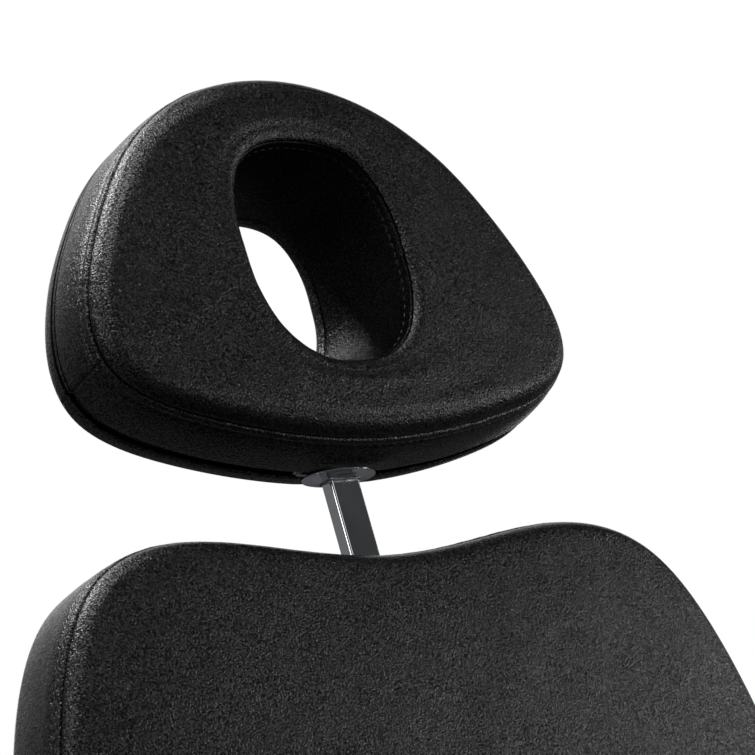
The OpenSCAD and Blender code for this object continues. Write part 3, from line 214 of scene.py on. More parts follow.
finishes = {
    # chrome plate on polished steel: mirror bright, slightly blue, faint wiping marks
    "chrome": plainFinish("chromePlate", {
        "dark": "#b9bcc0", "light": "#cfd2d6", "metal": 1, "spot": 60 * mm, "smear": 25 * mm,
        "rough": (0.05, 0.14), "peel": 9 * mm, "depth": 0.01 * mm}),
    # powder coat baked on steel: satin black with an orange peel of about a millimetre
    "blackPaint": plainFinish("powderCoatBlack", {
        "dark": "#161618", "light": "#1e1e20", "spot": 20 * mm, "smear": 12 * mm,
        "rough": (0.36, 0.5), "peel": 1.6 * mm, "depth": 0.1 * mm}),
    # brushed on dark enamel over plate steel: dull, with faint runs
    "baseIron": plainFinish("darkEnamel", {
        "dark": "#2b2c2e", "light": "#37383a", "spot": 26 * mm, "smear": 18 * mm,
        "rough": (0.45, 0.62), "peel": 4 * mm, "depth": 0.15 * mm}),
    # bright zinc plate: pale bluish grey, patchy and slightly dull
    "zinc": plainFinish("zincPlate", {
        "dark": "#9aa0a6", "light": "#bcc1c4", "metal": 1, "spot": 6 * mm, "smear": 4 * mm,
        "rough": (0.26, 0.42), "peel": 1.5 * mm, "depth": 0.03 * mm}),
    # turned brass: warm yellow with a dull bloom
    "brass": plainFinish("turnedBrass", {
        "dark": "#a8843c", "light": "#c7a251", "metal": 1, "spot": 8 * mm, "smear": 6 * mm,
        "rough": (0.25, 0.4), "peel": 1.2 * mm, "depth": 0.02 * mm}),
    # brushed and polished aluminium casting, brushed along the arm
    "castAlloy": plainFinish("brushedAluminium", {
        "dark": "#b1b3b4", "light": "#c9cbcc", "metal": 1, "spot": 2 * mm, "smear": 1.6 * mm,
        "stretch": (1, 0.04, 1), "rough": (0.2, 0.34), "peel": 1 * mm, "depth": 0.03 * mm}),
    # moulded rubber: dull black with a dusty grey bloom
    "rubber": plainFinish("mouldedRubber", {
        "dark": "#121213", "light": "#232324", "spot": 16 * mm, "smear": 5 * mm,
        "rough": (0.6, 0.8), "peel": 1.2 * mm, "depth": 0.12 * mm}),
    # injection moulded nylon: black with a spark-eroded texture
    "blackPlastic": plainFinish("mouldedNylon", {
        "dark": "#141415", "light": "#1c1c1e", "spot": 14 * mm, "smear": 7 * mm,
        "rough": (0.38, 0.52), "peel": 1.1 * mm, "depth": 0.1 * mm}),
    # birch plywood, sanded, unsealed: pale straw with long darker grain
    "plywood": plainFinish("birchPlywood", {
        "dark": "#a9855a", "light": "#c9a878", "spot": 5 * mm, "smear": 8 * mm,
        "stretch": (1, 0.06, 0.06), "rough": (0.55, 0.75), "peel": 1.4 * mm, "depth": 0.15 * mm}),
    # painted seam shade: a dull black, almost unspecular material on the faces in the seam and zip
    # grooves, which paints the shade in them as crisp dark lines
    "seamShade": plainFinish("paintedSeamShade", {
        "dark": "#020202", "light": "#050505", "spot": 2 * mm, "smear": 2 * mm,
        "rough": (0.9, 1), "peel": 0.6 * mm, "depth": 0.1 * mm,
        "shader": {"Specular IOR Level": 0.02}}),
    # bonded polyester thread, tightly twisted: black with a slight shine
    "thread": plainFinish("polyesterThread", {
        "dark": "#111112", "light": "#2a2a2d", "spot": 2 * mm, "smear": 2 * mm,
        "rough": (0.3, 0.5), "peel": 0.6 * mm, "depth": 0.15 * mm}),
    # nylon coil of the zip: black with a waxy shine
    "coil": plainFinish("zipNylon", {
        "dark": "#131315", "light": "#222225", "spot": 2 * mm, "smear": 3 * mm,
        "rough": (0.25, 0.4), "peel": 0.9 * mm, "depth": 0.1 * mm}),
    # weld bead under chrome: dark, rough and spattered
    "weld": plainFinish("weldBead", {
        "dark": "#4a4b4d", "light": "#a9abae", "metal": 1, "spot": 1.4 * mm, "smear": 2 * mm,
        "rough": (0.25, 0.55), "peel": 0.8 * mm, "depth": 0.25 * mm}),
}
nodeFinish = {
    "rubber": ["floor_pad", "column_seal", "rail_caps", "pedal_pad"],
    "baseIron": ["base_plate"],
    "chrome": ["base_cover", "column_shroud", "ram", "column_sleeve", "arm_post_left",
               "arm_post_right", "arm_pins", "hinge_pins", "pedal_pin", "headrest_bar",
               "headrest_flange", "socket_flange", "back_lever", "leg_lever", "bar_socket"],
    "zinc": ["base_bolts", "hub_bolts", "guide_bolts", "clamp_nuts", "seat_screws", "back_screws",
             "leg_screws", "headrest_screws", "knob_bush", "knob_stem"],
    "brass": ["thrust_washer"],
    "blackPaint": ["pump_body", "swivel_hub", "frame_rails", "frame_crossbars", "hinge_brackets",
                   "back_frame", "leg_frame", "arm_sockets", "pedal_lever"],
    "castAlloy": ["arm_rail_left", "arm_rail_right"],
    "blackPlastic": ["knob_grip", "bar_plug", "socket_liner", "back_lever_grip", "leg_lever_grip"],
    "plywood": ["seat_board", "back_board", "leg_board", "headrest_board", "socket_block"],
}
for finish, names in nodeFinish.items():
    for name in names:
        mesh = nodes[name].data
        mesh.materials.clear()
        mesh.materials.append(finishes[finish])
print("materials made")


# outlines of the pads: control points of a smooth closed curve, right half from the lower edge up,
# as shares of half the width and half the height, or of the length from the lower edge
headShares = [(0, -1.007), (0.271, -0.983), (0.631, -0.888), (1.001, -0.71), (1.016, -0.233),
              (0.766, 0.446), (0.584, 0.717), (0.356, 0.939), (0, 1.046)]
holeShares = [(0, -0.965), (0.33, -0.97), (0.775, -0.77), (0.99, -0.33), (0.99, -0.02),
              (1.015, 0.31), (0.845, 0.75), (0.52, 0.955), (0, 1.01)]
backShares = [(0, 0), (0.33, 0), (0.63, 0), (0.92, 0), (0.94, 0.17), (0.97, 0.31), (0.99, 0.44),
              (1, 0.56), (1, 0.7), (0.98, 0.8), (0.852, 0.971), (0.58, 1.0115), (0.3, 0.9915),
              (0, 0.9715)]
blockShares = [(0, 0.008), (0.45, 0.008), (0.85, 0), (1, 0), (1, 0.08), (0.985, 0.35),
               (0.985, 0.65), (1, 0.92), (1, 1), (0.85, 1), (0.45, 0.992), (0, 0.992)]
armShares = [(0, 0), (0.7, 0), (1, 0.06), (1, 0.2), (0.97, 0.5), (1, 0.8), (1, 0.94), (0.7, 1),
             (0, 1)]


def smoothOutline(shares, halfWidth, height, steps=48):
    # a closed curve through the mirrored control points, with its outward directions and lengths
    control = [Vector((x * halfWidth, y * height)) for x, y in shares]
    control += [Vector((-x * halfWidth, y * height)) for x, y in shares[-2:0:-1]]
    n = len(control)
    points = []
    for i in range(n):
        a, b, c, d = (control[(i + k) % n] for k in (-1, 0, 1, 2))
        for j in range(steps):
            t = j / steps
            points.append(((1 - t) ** 3 * a + (3 * t ** 3 - 6 * t ** 2 + 4) * b
                           + (-3 * t ** 3 + 3 * t ** 2 + 3 * t + 1) * c + t ** 3 * d) / 6)
    m = len(points)
    out = []
    lengths = [0.0]
    for i in range(m):
        run = points[(i + 1) % m] - points[i - 1]
        out.append(Vector((run.y, -run.x)).normalized())
        lengths.append(lengths[-1] + (points[(i + 1) % m] - points[i]).length)
    return {"points": points, "out": out, "lengths": lengths, "length": lengths[-1]}


def knotAt(outline, along):
    # the curve's own parameter at a share of its length
    target = (along % 1.0) * outline["length"]
    low, high = 0, len(outline["points"])
    while high - low > 1:
        mid = (low + high) // 2
        if outline["lengths"][mid] <= target:
            low = mid
        else:
            high = mid
    span = outline["lengths"][low + 1] - outline["lengths"][low]
    return (low + (target - outline["lengths"][low]) / span) / len(outline["points"])


def edgePoint(outline, knot, inset=0.0):
    m = len(outline["points"])
    place = (knot % 1.0) * m
    i, f = int(place) % m, place - int(place)
    j = (i + 1) % m
    point = outline["points"][i].lerp(outline["points"][j], f)
    return point - outline["out"][i].lerp(outline["out"][j], f).normalized() * inset


def fromTable(table, x):
    # smooth value between the rows (x, y) of a table
    rows = [table[0], *table, table[-1]]
    for k in range(1, len(rows) - 2):
        (x0, y0), (x1, y1), (x2, y2), (x3, y3) = rows[k - 1:k + 3]
        if x <= x2 or k == len(rows) - 3:
            t = min(1, max(0, (x - x1) / (x2 - x1)))
            m1 = (y2 - y0) / (x2 - x0) * (x2 - x1)
            m2 = (y3 - y1) / (x3 - x1) * (x2 - x1)
            return ((2 * t ** 3 - 3 * t ** 2 + 1) * y1 + (t ** 3 - 2 * t ** 2 + t) * m1
                    + (-2 * t ** 3 + 3 * t ** 2) * y2 + (t ** 3 - t ** 2) * m2)


# mesh helpers
def growRing(bm, edges, place):
    # extrudes a closed edge loop and puts each new point where place() says
    grown = bmesh.ops.extrude_edge_only(bm, edges=edges)["geom"]
    fresh = {g for g in grown if isinstance(g, bmesh.types.BMVert)}
    for v in fresh:
        v.co = place(v)
    return [g for g in grown if isinstance(g, bmesh.types.BMEdge)
            and g.verts[0] in fresh and g.verts[1] in fresh]


def markRing(edges, index):
    # gives the faces just grown up to these edges another of the piece's materials
    for edge in edges:
        for face in edge.link_faces:
            face.material_index = index


def finishPiece(name, bm, material, body, mend=True):
    # one material or a list of them, which markRing's numbers point into
    if mend:
        bmesh.ops.recalc_face_normals(bm, faces=bm.faces)
    for face in bm.faces:
        face.smooth = True
    mesh = bpy.data.meshes.new(name)
    bm.to_mesh(mesh)
    for finish in material if isinstance(material, list) else [material]:
        mesh.materials.append(finish)
    piece = bpy.data.objects.new(name, mesh)
    scene.collection.objects.link(piece)
    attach(piece, body)
    return piece


clothSet = {"frames": 16, "mass": 0.3, "quality": 6, "tension": 15, "bend": 6}


def inflate(bm, pressure, cap):
    # the sewn panel as cloth, held at its seams and pushed out by the foam; the result moves the panel
    bm.verts.ensure_lookup_table()
    mesh = bpy.data.meshes.new("clothPanel")
    bm.to_mesh(mesh)
    panel = bpy.data.objects.new("clothPanel", mesh)
    scene.collection.objects.link(panel)
    held = panel.vertex_groups.new(name="held")
    held.add([v.index for v in bm.verts if v.is_boundary], 1.0, "REPLACE")
    cloth = panel.modifiers.new("cloth", "CLOTH")
    cloth.point_cache.frame_start = 1
    cloth.point_cache.frame_end = clothSet["frames"]
    cloth.settings.vertex_group_mass = "held"
    cloth.settings.mass = clothSet["mass"]
    cloth.settings.quality = clothSet["quality"]
    cloth.settings.tension_stiffness = clothSet["tension"]
    cloth.settings.compression_stiffness = clothSet["tension"]
    cloth.settings.shear_stiffness = clothSet["tension"]
    cloth.settings.bending_stiffness = clothSet["bend"]
    cloth.settings.use_pressure = True
    cloth.settings.uniform_pressure_force = pressure
    cloth.settings.effector_weights.gravity = 0
    cloth.collision_settings.use_collision = False
    for step in range(1, clothSet["frames"] + 1):
        scene.frame_set(step)
    view = bpy.context.evaluated_depsgraph_get()
    blown = panel.evaluated_get(view).to_mesh()
    moves = [w.co - v.co for v, w in zip(bm.verts, blown.vertices)]
    largest = max(m.length for m in moves)
    for v, move in zip(bm.verts, moves):
        v.co += move * min(1, cap / largest)
    panel.evaluated_get(view).to_mesh_clear()
    bpy.data.objects.remove(panel)
    bpy.data.meshes.remove(mesh)
    scene.frame_set(1)
    print("  panel blown, largest move %.1f mm" % (largest / mm))


def pucker(along, length, size, seed):
    # small pulls of the stitches along a seam
    angle = along * 2 * math.pi
    reach = length / (2 * math.pi * size)
    return noise.noise(Vector((math.cos(angle) * reach, math.sin(angle) * reach, seed)))


stitchSet = {"pitch": 7 * mm, "long": 5.2 * mm, "wide": 0.85 * mm, "high": 0.7 * mm}


def stitchShape():
    bm = bmesh.new()
    bmesh.ops.create_uvsphere(bm, u_segments=6, v_segments=4, radius=1, matrix=Matrix.Diagonal(
        (stitchSet["long"] / 2, stitchSet["wide"] / 2, stitchSet["high"] / 2, 1)))
    shape = bpy.data.meshes.new("stitch")
    bm.to_mesh(shape)
    bm.free()
    return shape


def addCopy(bm, shape, matrix):
    bm.from_mesh(shape)
    bm.verts.ensure_lookup_table()
    for v in bm.verts[-len(shape.vertices):]:
        v.co = matrix @ v.co


def stitchRow(name, surface, path, body, closed=True):
    # sewn stitches laid on a surface along a path of points
    lengths = [0.0]
    points = path + [path[0]] if closed else path
    for a, b in zip(points, points[1:]):
        lengths.append(lengths[-1] + (b - a).length)
    count = int(lengths[-1] / stitchSet["pitch"])
    shape = stitchShape()
    bm = bmesh.new()
    k = 0
    for i in range(count):
        target = (i + 0.5) * lengths[-1] / count
        while lengths[k + 1] < target:
            k += 1
        f = (target - lengths[k]) / (lengths[k + 1] - lengths[k])
        point = points[k].lerp(points[k + 1], f)
        run = (points[k + 1] - points[k]).normalized()
        spot, normal, _, _ = surface.find_nearest(point)
        side = normal.cross(run).normalized()
        run = side.cross(normal).normalized()
        turn = Matrix((run, side, normal)).transposed().to_4x4()
        addCopy(bm, shape, Matrix.Translation(spot + normal * 0.1 * mm) @ turn)
    bpy.data.meshes.remove(shape)
    return finishPiece(name, bm, finishes["thread"], body, mend=False)


def seamRings(s):
    # (inset, height) in mm from the edge of the front panel over the seam, down the band and behind
    band, bulge = s["band"], s["bulge"]
    roll = [(8, 0.95), (6.2, 0.86), (4.5, 0.74), (3, 0.59), (1.8, 0.42), (0.9, 0.25), (0.5, 0.12)]
    rings = [(inset, s["edge"] * share) for inset, share in roll]
    rings += [(0.6, 0.3), (1, -0.1), (1.9, -0.5), (2, -0.9), (0.9, -1.3), (-0.5, -1.45), (-0.9, -1.9),
              (-1, -2.7), (-1.2, -3.7)]
    for row in s["rows"]:
        rings += [(-1.45, -row + 1.2), (-0.5, -row), (-1.55, -row - 1.2)]
    deep = -s["rows"][-1]
    rings += [(-1.9, deep - 3.5), (-bulge * 0.9, deep - 8)]
    steps = 6
    for k in range(steps + 1):
        f = k / steps
        z = (deep - 14) * (1 - f) + (-band + 16) * f
        rings.append((-bulge * (0.9 + 0.1 * math.sin(math.pi * f)), z))
    rings += [(-bulge * 0.8, -band + 9), (-bulge * 0.45, -band + 6), (0.3, -band + 2.4),
              (1.6, -band + 0.8), (3.2, -band + 0.1), (7, -band)]
    return rings


# pulls of the stitches, slow waves of the band and the foam's lows and highs, each with its height in
# mm; the faces of the seam's groove between the two heights named last get the black painted seam
# shade
padSet = {"start": 10 * mm, "pull": (9 * mm, 0.35), "wave": (60 * mm, 0.8),
          "lumps": ((9, 0.9), (26, 0.28)), "round": 0.62, "seam": (-1.4, 0.2)}


def wholePad(name, s):
    outline = smoothOutline(s["shares"], s["width"] / 2, s["length"])
    centre = Vector((0, s["length"] / 2))
    bm = bmesh.new()
    n = s["grid"]
    bmesh.ops.create_grid(bm, x_segments=n, y_segments=n, size=1)
    knotLayer = bm.verts.layers.float.new("knot")
    alongLayer = bm.verts.layers.float.new("along")
    for v in bm.verts:
        a, b = v.co.x, v.co.y
        f = max(abs(a), abs(b), 1e-9)
        if b <= -f + 1e-6:
            along = (a / f) / 8
        elif a >= f - 1e-6:
            along = 1 / 8 + (b / f + 1) / 8
        elif b >= f - 1e-6:
            along = 3 / 8 + (1 - a / f) / 8
        else:
            along = 5 / 8 + (1 - b / f) / 8
        along = along % 1.0
        knot = knotAt(outline, along)
        v[knotLayer] = knot
        v[alongLayer] = along
        edge = edgePoint(outline, knot, padSet["start"])
        flat = centre + (edge - centre) * f
        rise = s["edge"] + (s["crown"] - s["edge"]) * (1 - f ** s["swell"]) ** padSet["round"]
        v.co = (flat.x, flat.y, rise * mm)
    inflate(bm, s["pressure"], s["cap"] * mm)
    for v in bm.verts:
        if not v.is_boundary:
            p = Vector((v.co.x, v.co.y, s["seed"]))
            v.co.z += sum(noise.noise(p * often) * high for often, high in padSet["lumps"]) * mm
    edges = [e for e in bm.edges if e.is_boundary]
    rings = seamRings(s)

    def placeOn(ring):
        inset, z = ring

        def place(v):
            along, length = v[alongLayer], outline["length"]
            pull = pucker(along, length, padSet["pull"][0], s["seed"]) * padSet["pull"][1]
            wave = pucker(along, length, padSet["wave"][0], s["seed"] + 7) * padSet["wave"][1]
            near = math.exp(-abs(z + 3) / 6)
            loose = math.sin(math.pi * min(1, max(0, -z / s["band"])))
            shift = inset + pull * near * (0 if inset > 6 else 1) - wave * loose
            if inset < 7 and z > -s["band"] + 0.05:
                shift = max(shift, -s["bulge"] - 0.6)
            p = edgePoint(outline, v[knotLayer], shift * mm)
            return Vector((p.x, p.y, z * mm))
        return place

    for ring in rings:
        edges = growRing(bm, edges, placeOn(ring))
        # faces in the seam's groove get the black painted seam shade
        markRing(edges, 1 if padSet["seam"][0] < ring[1] < padSet["seam"][1] else 0)
    if s["pocket"]:
        edges = growRing(bm, edges, placeOn((s["wrap"], -s["band"])))
        edges = growRing(bm, edges, placeOn((s["wrap"], -s["band"] + s["pocket"])))
    middle = Vector((0, centre.y, 0))
    half = Vector((0.5, 0.5, 1))
    inner = growRing(bm, edges, lambda v: middle + (v.co - middle) * half)
    bmesh.ops.edgeloop_fill(bm, edges=inner)
    bm.transform(s["place"])
    piece = finishPiece(name, bm, [s["material"], finishes["seamShade"]], s["body"])
    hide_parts(s["node"])
    surface = BVHTree.FromBMesh(bm)
    steps = [k / 720 for k in range(720)]
    for i, row in enumerate(s["rows"]):
        path = [s["place"] @ Vector((*edgePoint(outline, knotAt(outline, k), -1.2 * mm), -row * mm))
                for k in steps]
        stitchRow("%sStitches%d" % (name, i + 1), surface, path, s["body"])
    staples(name, outline, s)
    print(name, "made,", len(bm.faces), "faces")
    bm.free()


# staples that hold the cover on its board
stapleSet = {"pitch": 38 * mm, "long": 10 * mm, "wire": 0.9 * mm, "inset": 6.5}


def staples(name, outline, s):
    if not s["pocket"]:
        return
    bm = bmesh.new()
    count = int(outline["length"] / stapleSet["pitch"])
    for i in range(count):
        knot = knotAt(outline, (i + 0.5) / count)
        here = edgePoint(outline, knot, stapleSet["inset"] * mm)
        ahead = edgePoint(outline, knot + 0.001, stapleSet["inset"] * mm) - here
        slip = 0.35 * noise.noise(Vector((i * 3.7, s["seed"], 0)))
        turn = Matrix.Rotation(math.atan2(ahead.y, ahead.x) + slip, 4, "Z")
        spot = s["place"] @ Matrix.Translation((here.x, here.y, -s["band"] * mm)) @ turn
        bar = Matrix.Diagonal((stapleSet["long"], stapleSet["wire"], stapleSet["wire"] * 0.8, 1))
        made = bmesh.ops.create_cube(bm, size=1, matrix=spot @ bar)["verts"]
        edges = list({e for v in made for e in v.link_edges})
        bmesh.ops.bevel(bm, geom=edges, offset=0.2 * mm, segments=2, profile=0.5, affect="EDGES",
                        material=-1)
    piece = finishPiece(name + "Staples", bm, finishes["zinc"], s["body"])
    bm.free()


wholePad("backCover", {
    "node": "back_cushion", "body": "backrest", "place": backPadFrame, "material": leathers["back"],
    "shares": backShares, "width": 594 * mm, "length": 700 * mm, "band": 64, "crown": 13.2,
    "edge": 10, "swell": 6, "bulge": 2.6, "rows": [5, 9.5], "wrap": 11.7, "pocket": 12.3,
    "grid": 96, "pressure": 4, "cap": 4, "seed": 3.1, "fill": 0.75})
wholePad("seatCover", {
    "node": "seat_cushion", "body": "seat", "place": seatFrame, "material": leathers["flat"],
    "shares": blockShares, "width": 560 * mm, "length": 510 * mm, "band": 90, "crown": 13,
    "edge": 9.6, "swell": 6, "bulge": 2.6, "rows": [5, 9.5], "wrap": 11.7, "pocket": 12.3,
    "grid": 80, "pressure": 4, "cap": 4, "seed": 8.7, "fill": 0.75})
wholePad("legCover", {
    "node": "leg_cushion", "body": "leg_rest", "place": legFrame, "material": leathers["leg"],
    "shares": blockShares, "width": 520 * mm, "length": 430 * mm, "band": 75, "crown": 11.2,
    "edge": 8.4, "swell": 6, "bulge": 2.6, "rows": [5, 9.5], "wrap": 11.7, "pocket": 12.3,
    "grid": 72, "pressure": 4, "cap": 3.5, "seed": 12.3, "fill": 0.75})
for side, sign in (("Left", -1), ("Right", 1)):
    wholePad("arm" + side + "Cover", {
        "node": "arm_pad_" + side.lower(), "body": "arm_" + side.lower(),
        "place": Matrix.Translation((sign * 0.342, -0.21, 0.712)), "material": leathers["flat"],
        "shares": armShares, "width": 84 * mm, "length": 380 * mm, "band": 41, "crown": 6.4,
        "edge": 5.4, "swell": 4, "bulge": 2.4, "rows": [5], "wrap": 8, "pocket": 0,
        "grid": 40, "pressure": 3, "cap": 1.5, "seed": 17.9 + sign, "fill": 0.8})


# headrest: a ring-shaped cover with a crowned front, the lining of the face hole and a side band whose
# lower part is closed by a zip; the band's lower edge reaches further down at its rear
headSet = {
    "half": (200, 137.5), "holeHalf": (69, 87),
    "band": 56, "crown": 16, "around": 400, "flare": 11.3, "spread": 0.016, "holeRear": 0.745,
    "holeDepth": 98.5, "holeRise": 14.4,
    "joins": (0.197, 0.803),       # where the lower and upper bands are sewn together
    "crownTable": [(0, 0.86), (0.25, 0.98), (0.55, 1.0), (0.8, 0.94), (0.93, 0.84), (1, 0.75)],
    "row": 6.5, "holeRow": 7, "pocket": 13.7, "pocketTop": -54.7, "liningEnd": -76,
    "zip": -40.8, "zipHalf": 2.6,
    "flange": (29, 13, -46),       # half sizes of the metal plate and its height on the band
    # pulls of the stitches and slow waves on the band and on the lining: size across, height in mm
    "pull": (9 * mm, 0.35), "wave": (55 * mm, 0.9),
    "holePull": (8 * mm, 0.3), "holeWave": (45 * mm, 0.7),
}
headOutline = smoothOutline(headShares, *[c * mm for c in headSet["half"]])
holeOutline = smoothOutline(holeShares, *[c * mm for c in headSet["holeHalf"]])
holeTop = headSet["crownTable"][0][1] * headSet["crown"] - 0.8


def headKnots():
    # even places round the outer seam, and closer ones at the band's joins
    spots = [k / headSet["around"] for k in range(headSet["around"])]
    for join in headSet["joins"]:
        for off in (-2.6, -1.5, -0.8, -0.3, 0, 0.3, 0.8, 1.5, 2.6):
            spots.append((join + off * mm / headOutline["length"]) % 1.0)
    spots.sort()
    kept = [spots[0]]
    for spot in spots[1:]:
        if (spot - kept[-1]) * headOutline["length"] > 0.25 * mm:
            kept.append(spot)
    return kept


def smooth(x, low, high):
    t = min(1, max(0, (x - low) / (high - low)))
    return t * t * (3 - 2 * t)


def seamPoint(knot, z, inset):
    # on the outer seam's outline, flared down towards the rear
    p = edgePoint(headOutline, knot, inset * mm)
    deep = min(1, max(0, -z / headSet["band"]))
    return Vector((p.x * (1 + headSet["spread"] * deep),
                   p.y + min(p.y, 0) / headSet["half"][1] * headSet["flare"] * deep, z * mm))


def holePoint(knot, z, inset):
    # on the face hole's outline, which narrows towards the rear; inset away from the hole
    p = edgePoint(holeOutline, knot, -inset * mm)
    k = (1 - headSet["holeRear"]) * (holeTop - z) / headSet["holeDepth"]
    return Vector((p.x * (1 - k), p.y * (1 - k) + headSet["holeRise"] * k * mm, z * mm))


def onRing(place):
    # turns a place given by (knot, along) into one of a vertex
    return lambda v: place(v[headLayers[0]], v[headLayers[1]])


def lowerShare(along):
    # 1 on the lower band, 0 on the upper one
    off = min(along, 1 - along)
    return 1 - smooth((off - headSet["joins"][0]) * headOutline["length"] / mm, -1.2, -0.2)


def bandPlace(inset, z, zipInset=None, seed=1.3):
    def place(knot, along):
        length = headOutline["length"]
        loose = math.sin(math.pi * min(1, max(0, -z / headSet["band"])))
        shift = inset
        if zipInset is not None:
            shift += (zipInset - inset) * lowerShare(along)
        if inset < 5:
            size, high = headSet["pull"]
            shift += pucker(along, length, size, seed) * high * math.exp(-abs(z + 3) / 6)
            size, high = headSet["wave"]
            shift -= pucker(along, length, size, seed + 5) * high * loose
        for join in headSet["joins"]:
            off = abs(((along - join + 0.5) % 1.0) - 0.5) * length / mm
            if -headSet["band"] + 3 < z < -2:
                shift += 1.3 * math.exp(-(off / 0.7) ** 2) - 0.35 * math.exp(-((off - 2.2) / 1.5) ** 2)
        p = seamPoint(knot, z, shift)
        if p.y < 0 and -headSet["band"] + 2 < z < -8:
            # pressed flat by the metal flange, puffed in front of it
            x = p.x / mm
            halfX, halfZ, midZ = headSet["flange"]
            free = smooth(math.hypot(x / halfX, (z - midZ) / halfZ), 0.85, 1.3)
            shift = shift * free + 0.3 * (1 - free)
            shift -= 2.4 * math.exp(-(x / 27) ** 4) * math.exp(-((z + 23) / 7) ** 2)
            p = seamPoint(knot, z, shift)
        return p
    return onRing(place)


def liningPlace(inset, z):
    def place(knot, along):
        size, high = headSet["holePull"]
        pull = pucker(along, holeOutline["length"], size, 4.4) * high * math.exp(-abs(z - 9) / 6)
        size, high = headSet["holeWave"]
        wave = pucker(along, holeOutline["length"], size, 6.1) * high
        loose = math.sin(math.pi * min(1, max(0, (11 - z) / (11 + headSet["band"]))))
        return holePoint(knot, z, inset + (pull + wave * loose if inset < 5 else 0))
    return onRing(place)


def ringStart(bm, spots):
    bmesh.ops.create_circle(bm, segments=len(spots), radius=1)
    layers = (bm.verts.layers.float.new("knot"), bm.verts.layers.float.new("along"))
    for along, v in zip(spots, list(bm.verts)):
        v[layers[0]] = knotAt(headOutline, along)
        v[layers[1]] = along
    return layers


bm = bmesh.new()
headLayers = ringStart(bm, headKnots())
for v in bm.verts:
    v.co = liningPlace(7, holeTop + 0.8)(v)
holeEdges = list(bm.edges)
edges = holeEdges
steps = 34
for k in range(1, steps + 1):
    f = k / steps
    z = fromTable(headSet["crownTable"], f) * headSet["crown"]

    def crownPlace(knot, along):
        p = holePoint(knot, holeTop, 7).lerp(seamPoint(knot, 0, 10), f)
        lift = noise.noise(Vector((p.x * 10, p.y * 10, 5.5)))
        lift += 0.25 * noise.noise(Vector((p.x * 30, p.y * 30, 2.5)))
        p.z = (z + (lift - 0.8) * math.sin(math.pi * f)) * mm
        return p

    edges = growRing(bm, edges, onRing(crownPlace))
outerEdges = edges
inflate(bm, 4, 2.2 * mm)
edges = outerEdges
rise = headSet["crownTable"][-1][1] * headSet["crown"]
row, lip, half = -headSet["row"], -headSet["band"], headSet["zipHalf"]
zipZ = headSet["zip"]
bandRings = [
    # inset, height, and the inset along the lower band where it differs
    (8, rise * 0.94), (6.2, rise * 0.85), (4.5, rise * 0.73), (3, rise * 0.59), (1.8, rise * 0.42),
    (0.9, rise * 0.25), (0.45, rise * 0.12), (0.5, 0.4), (0.9, 0), (1.9, -0.4), (2, -0.8), (0.9, -1.2),
    (-0.5, -1.45), (-0.9, -1.9), (-1, -2.6), (-1.2, -3.6), (-1.45, row + 1.2), (-0.5, row),
    (-1.55, row - 1.2), (-1.9, -10), (-2.3, -13), (-2.6, -16), (-2.7, -19), (-2.75, -22), (-2.75, -25),
    (-2.7, -28), (-2.6, -31), (-2.4, -33.5, -2.5), (-2.3, -35.8, -2.4), (-2.1, zipZ + half + 1, -1.9),
    (-2.1, zipZ + half + 0.3, -1.1), (-2.1, zipZ + half, 0.2), (-2.1, zipZ + half - 0.3, 1.9),
    (-2.1, zipZ, 2.1), (-2, zipZ - half + 0.3, 1.9), (-2, zipZ - half, 0.2),
    (-1.9, zipZ - half - 0.3, -1), (-1.9, zipZ - half - 1, -1.5), (-1.7, -46.5), (-1.4, -49),
    (-0.9, -51.5), (-0.1, lip + 2.2), (1, lip + 0.9), (2.4, lip + 0.2), (6.5, lip),
    (headSet["pocket"], lip),
    (headSet["pocket"], headSet["pocketTop"]),
]
for ring in bandRings:
    edges = growRing(bm, edges, bandPlace(*ring))
    # faces in the seam's groove and on the walls of the zip's groove get the black painted seam shade
    inSeam = padSet["seam"][0] < ring[1] < padSet["seam"][1]
    inZip = abs(abs(ring[1] - zipZ) - half) < 0.35
    markRing(edges, 1 if inSeam or inZip else 0)
rearOuter = edges
edges = holeEdges
row = holeTop - 3.6 - headSet["holeRow"]
liningEnd = headSet["liningEnd"]
hemRings = [(4.6, 0.3), (2.7, -0.5), (1.5, -1.4), (0.7, -2.4), (0.5, -2.8), (0.7, -3.1), (1.9, -3.4),
            (2, -3.8), (0.8, -4.1), (0.1, -4.4), (-0.2, -5)]
liningRings = [(inset, holeTop + z) for inset, z in hemRings] + [
    (-0.35, row + 3), (-0.2, row + 1), (0.2, row), (-0.2, row - 1), (-0.3, row - 4), (0.2, -8),
    (0.7, -20), (0.8, -32), (0.6, -44), (0.3, -54), (0, liningEnd + 14), (-0.2, liningEnd + 7),
    (-0.1, liningEnd + 3), (0.3, liningEnd + 1), (1.3, liningEnd), (2.6, liningEnd + 0.6),
    (3.2, liningEnd + 3), (3.2, -60), (3.2, lip), (headSet["pocket"], lip),
    (headSet["pocket"], headSet["pocketTop"]),
]
for inset, z in liningRings:
    edges = growRing(bm, edges, liningPlace(inset, z))
    # the hem's seam groove gets the black painted seam shade, the lining below it the painted shade
    # copy of the leatherette
    if z < holeTop - 2.5:
        markRing(edges, 1 if z > holeTop - 4.2 else 2)
bmesh.ops.bridge_loops(bm, edges=rearOuter + edges)
bm.transform(headFrame)
coverFinishes = [leathers["back"], finishes["seamShade"], leathers["lining"]]
headCover = finishPiece("headrestCover", bm, coverFinishes, "headrest")
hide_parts("headrest_cushion")
surface = BVHTree.FromBMesh(bm)
loop = [k / 720 for k in range(720)]
path = [headFrame @ seamPoint(knotAt(headOutline, k), -headSet["row"], -1.2) for k in loop]
stitchRow("headBandStitches", surface, path, "headrest")
path = [headFrame @ holePoint(knotAt(holeOutline, k), row, 0) for k in loop]
stitchRow("holeStitches", surface, path, "headrest")
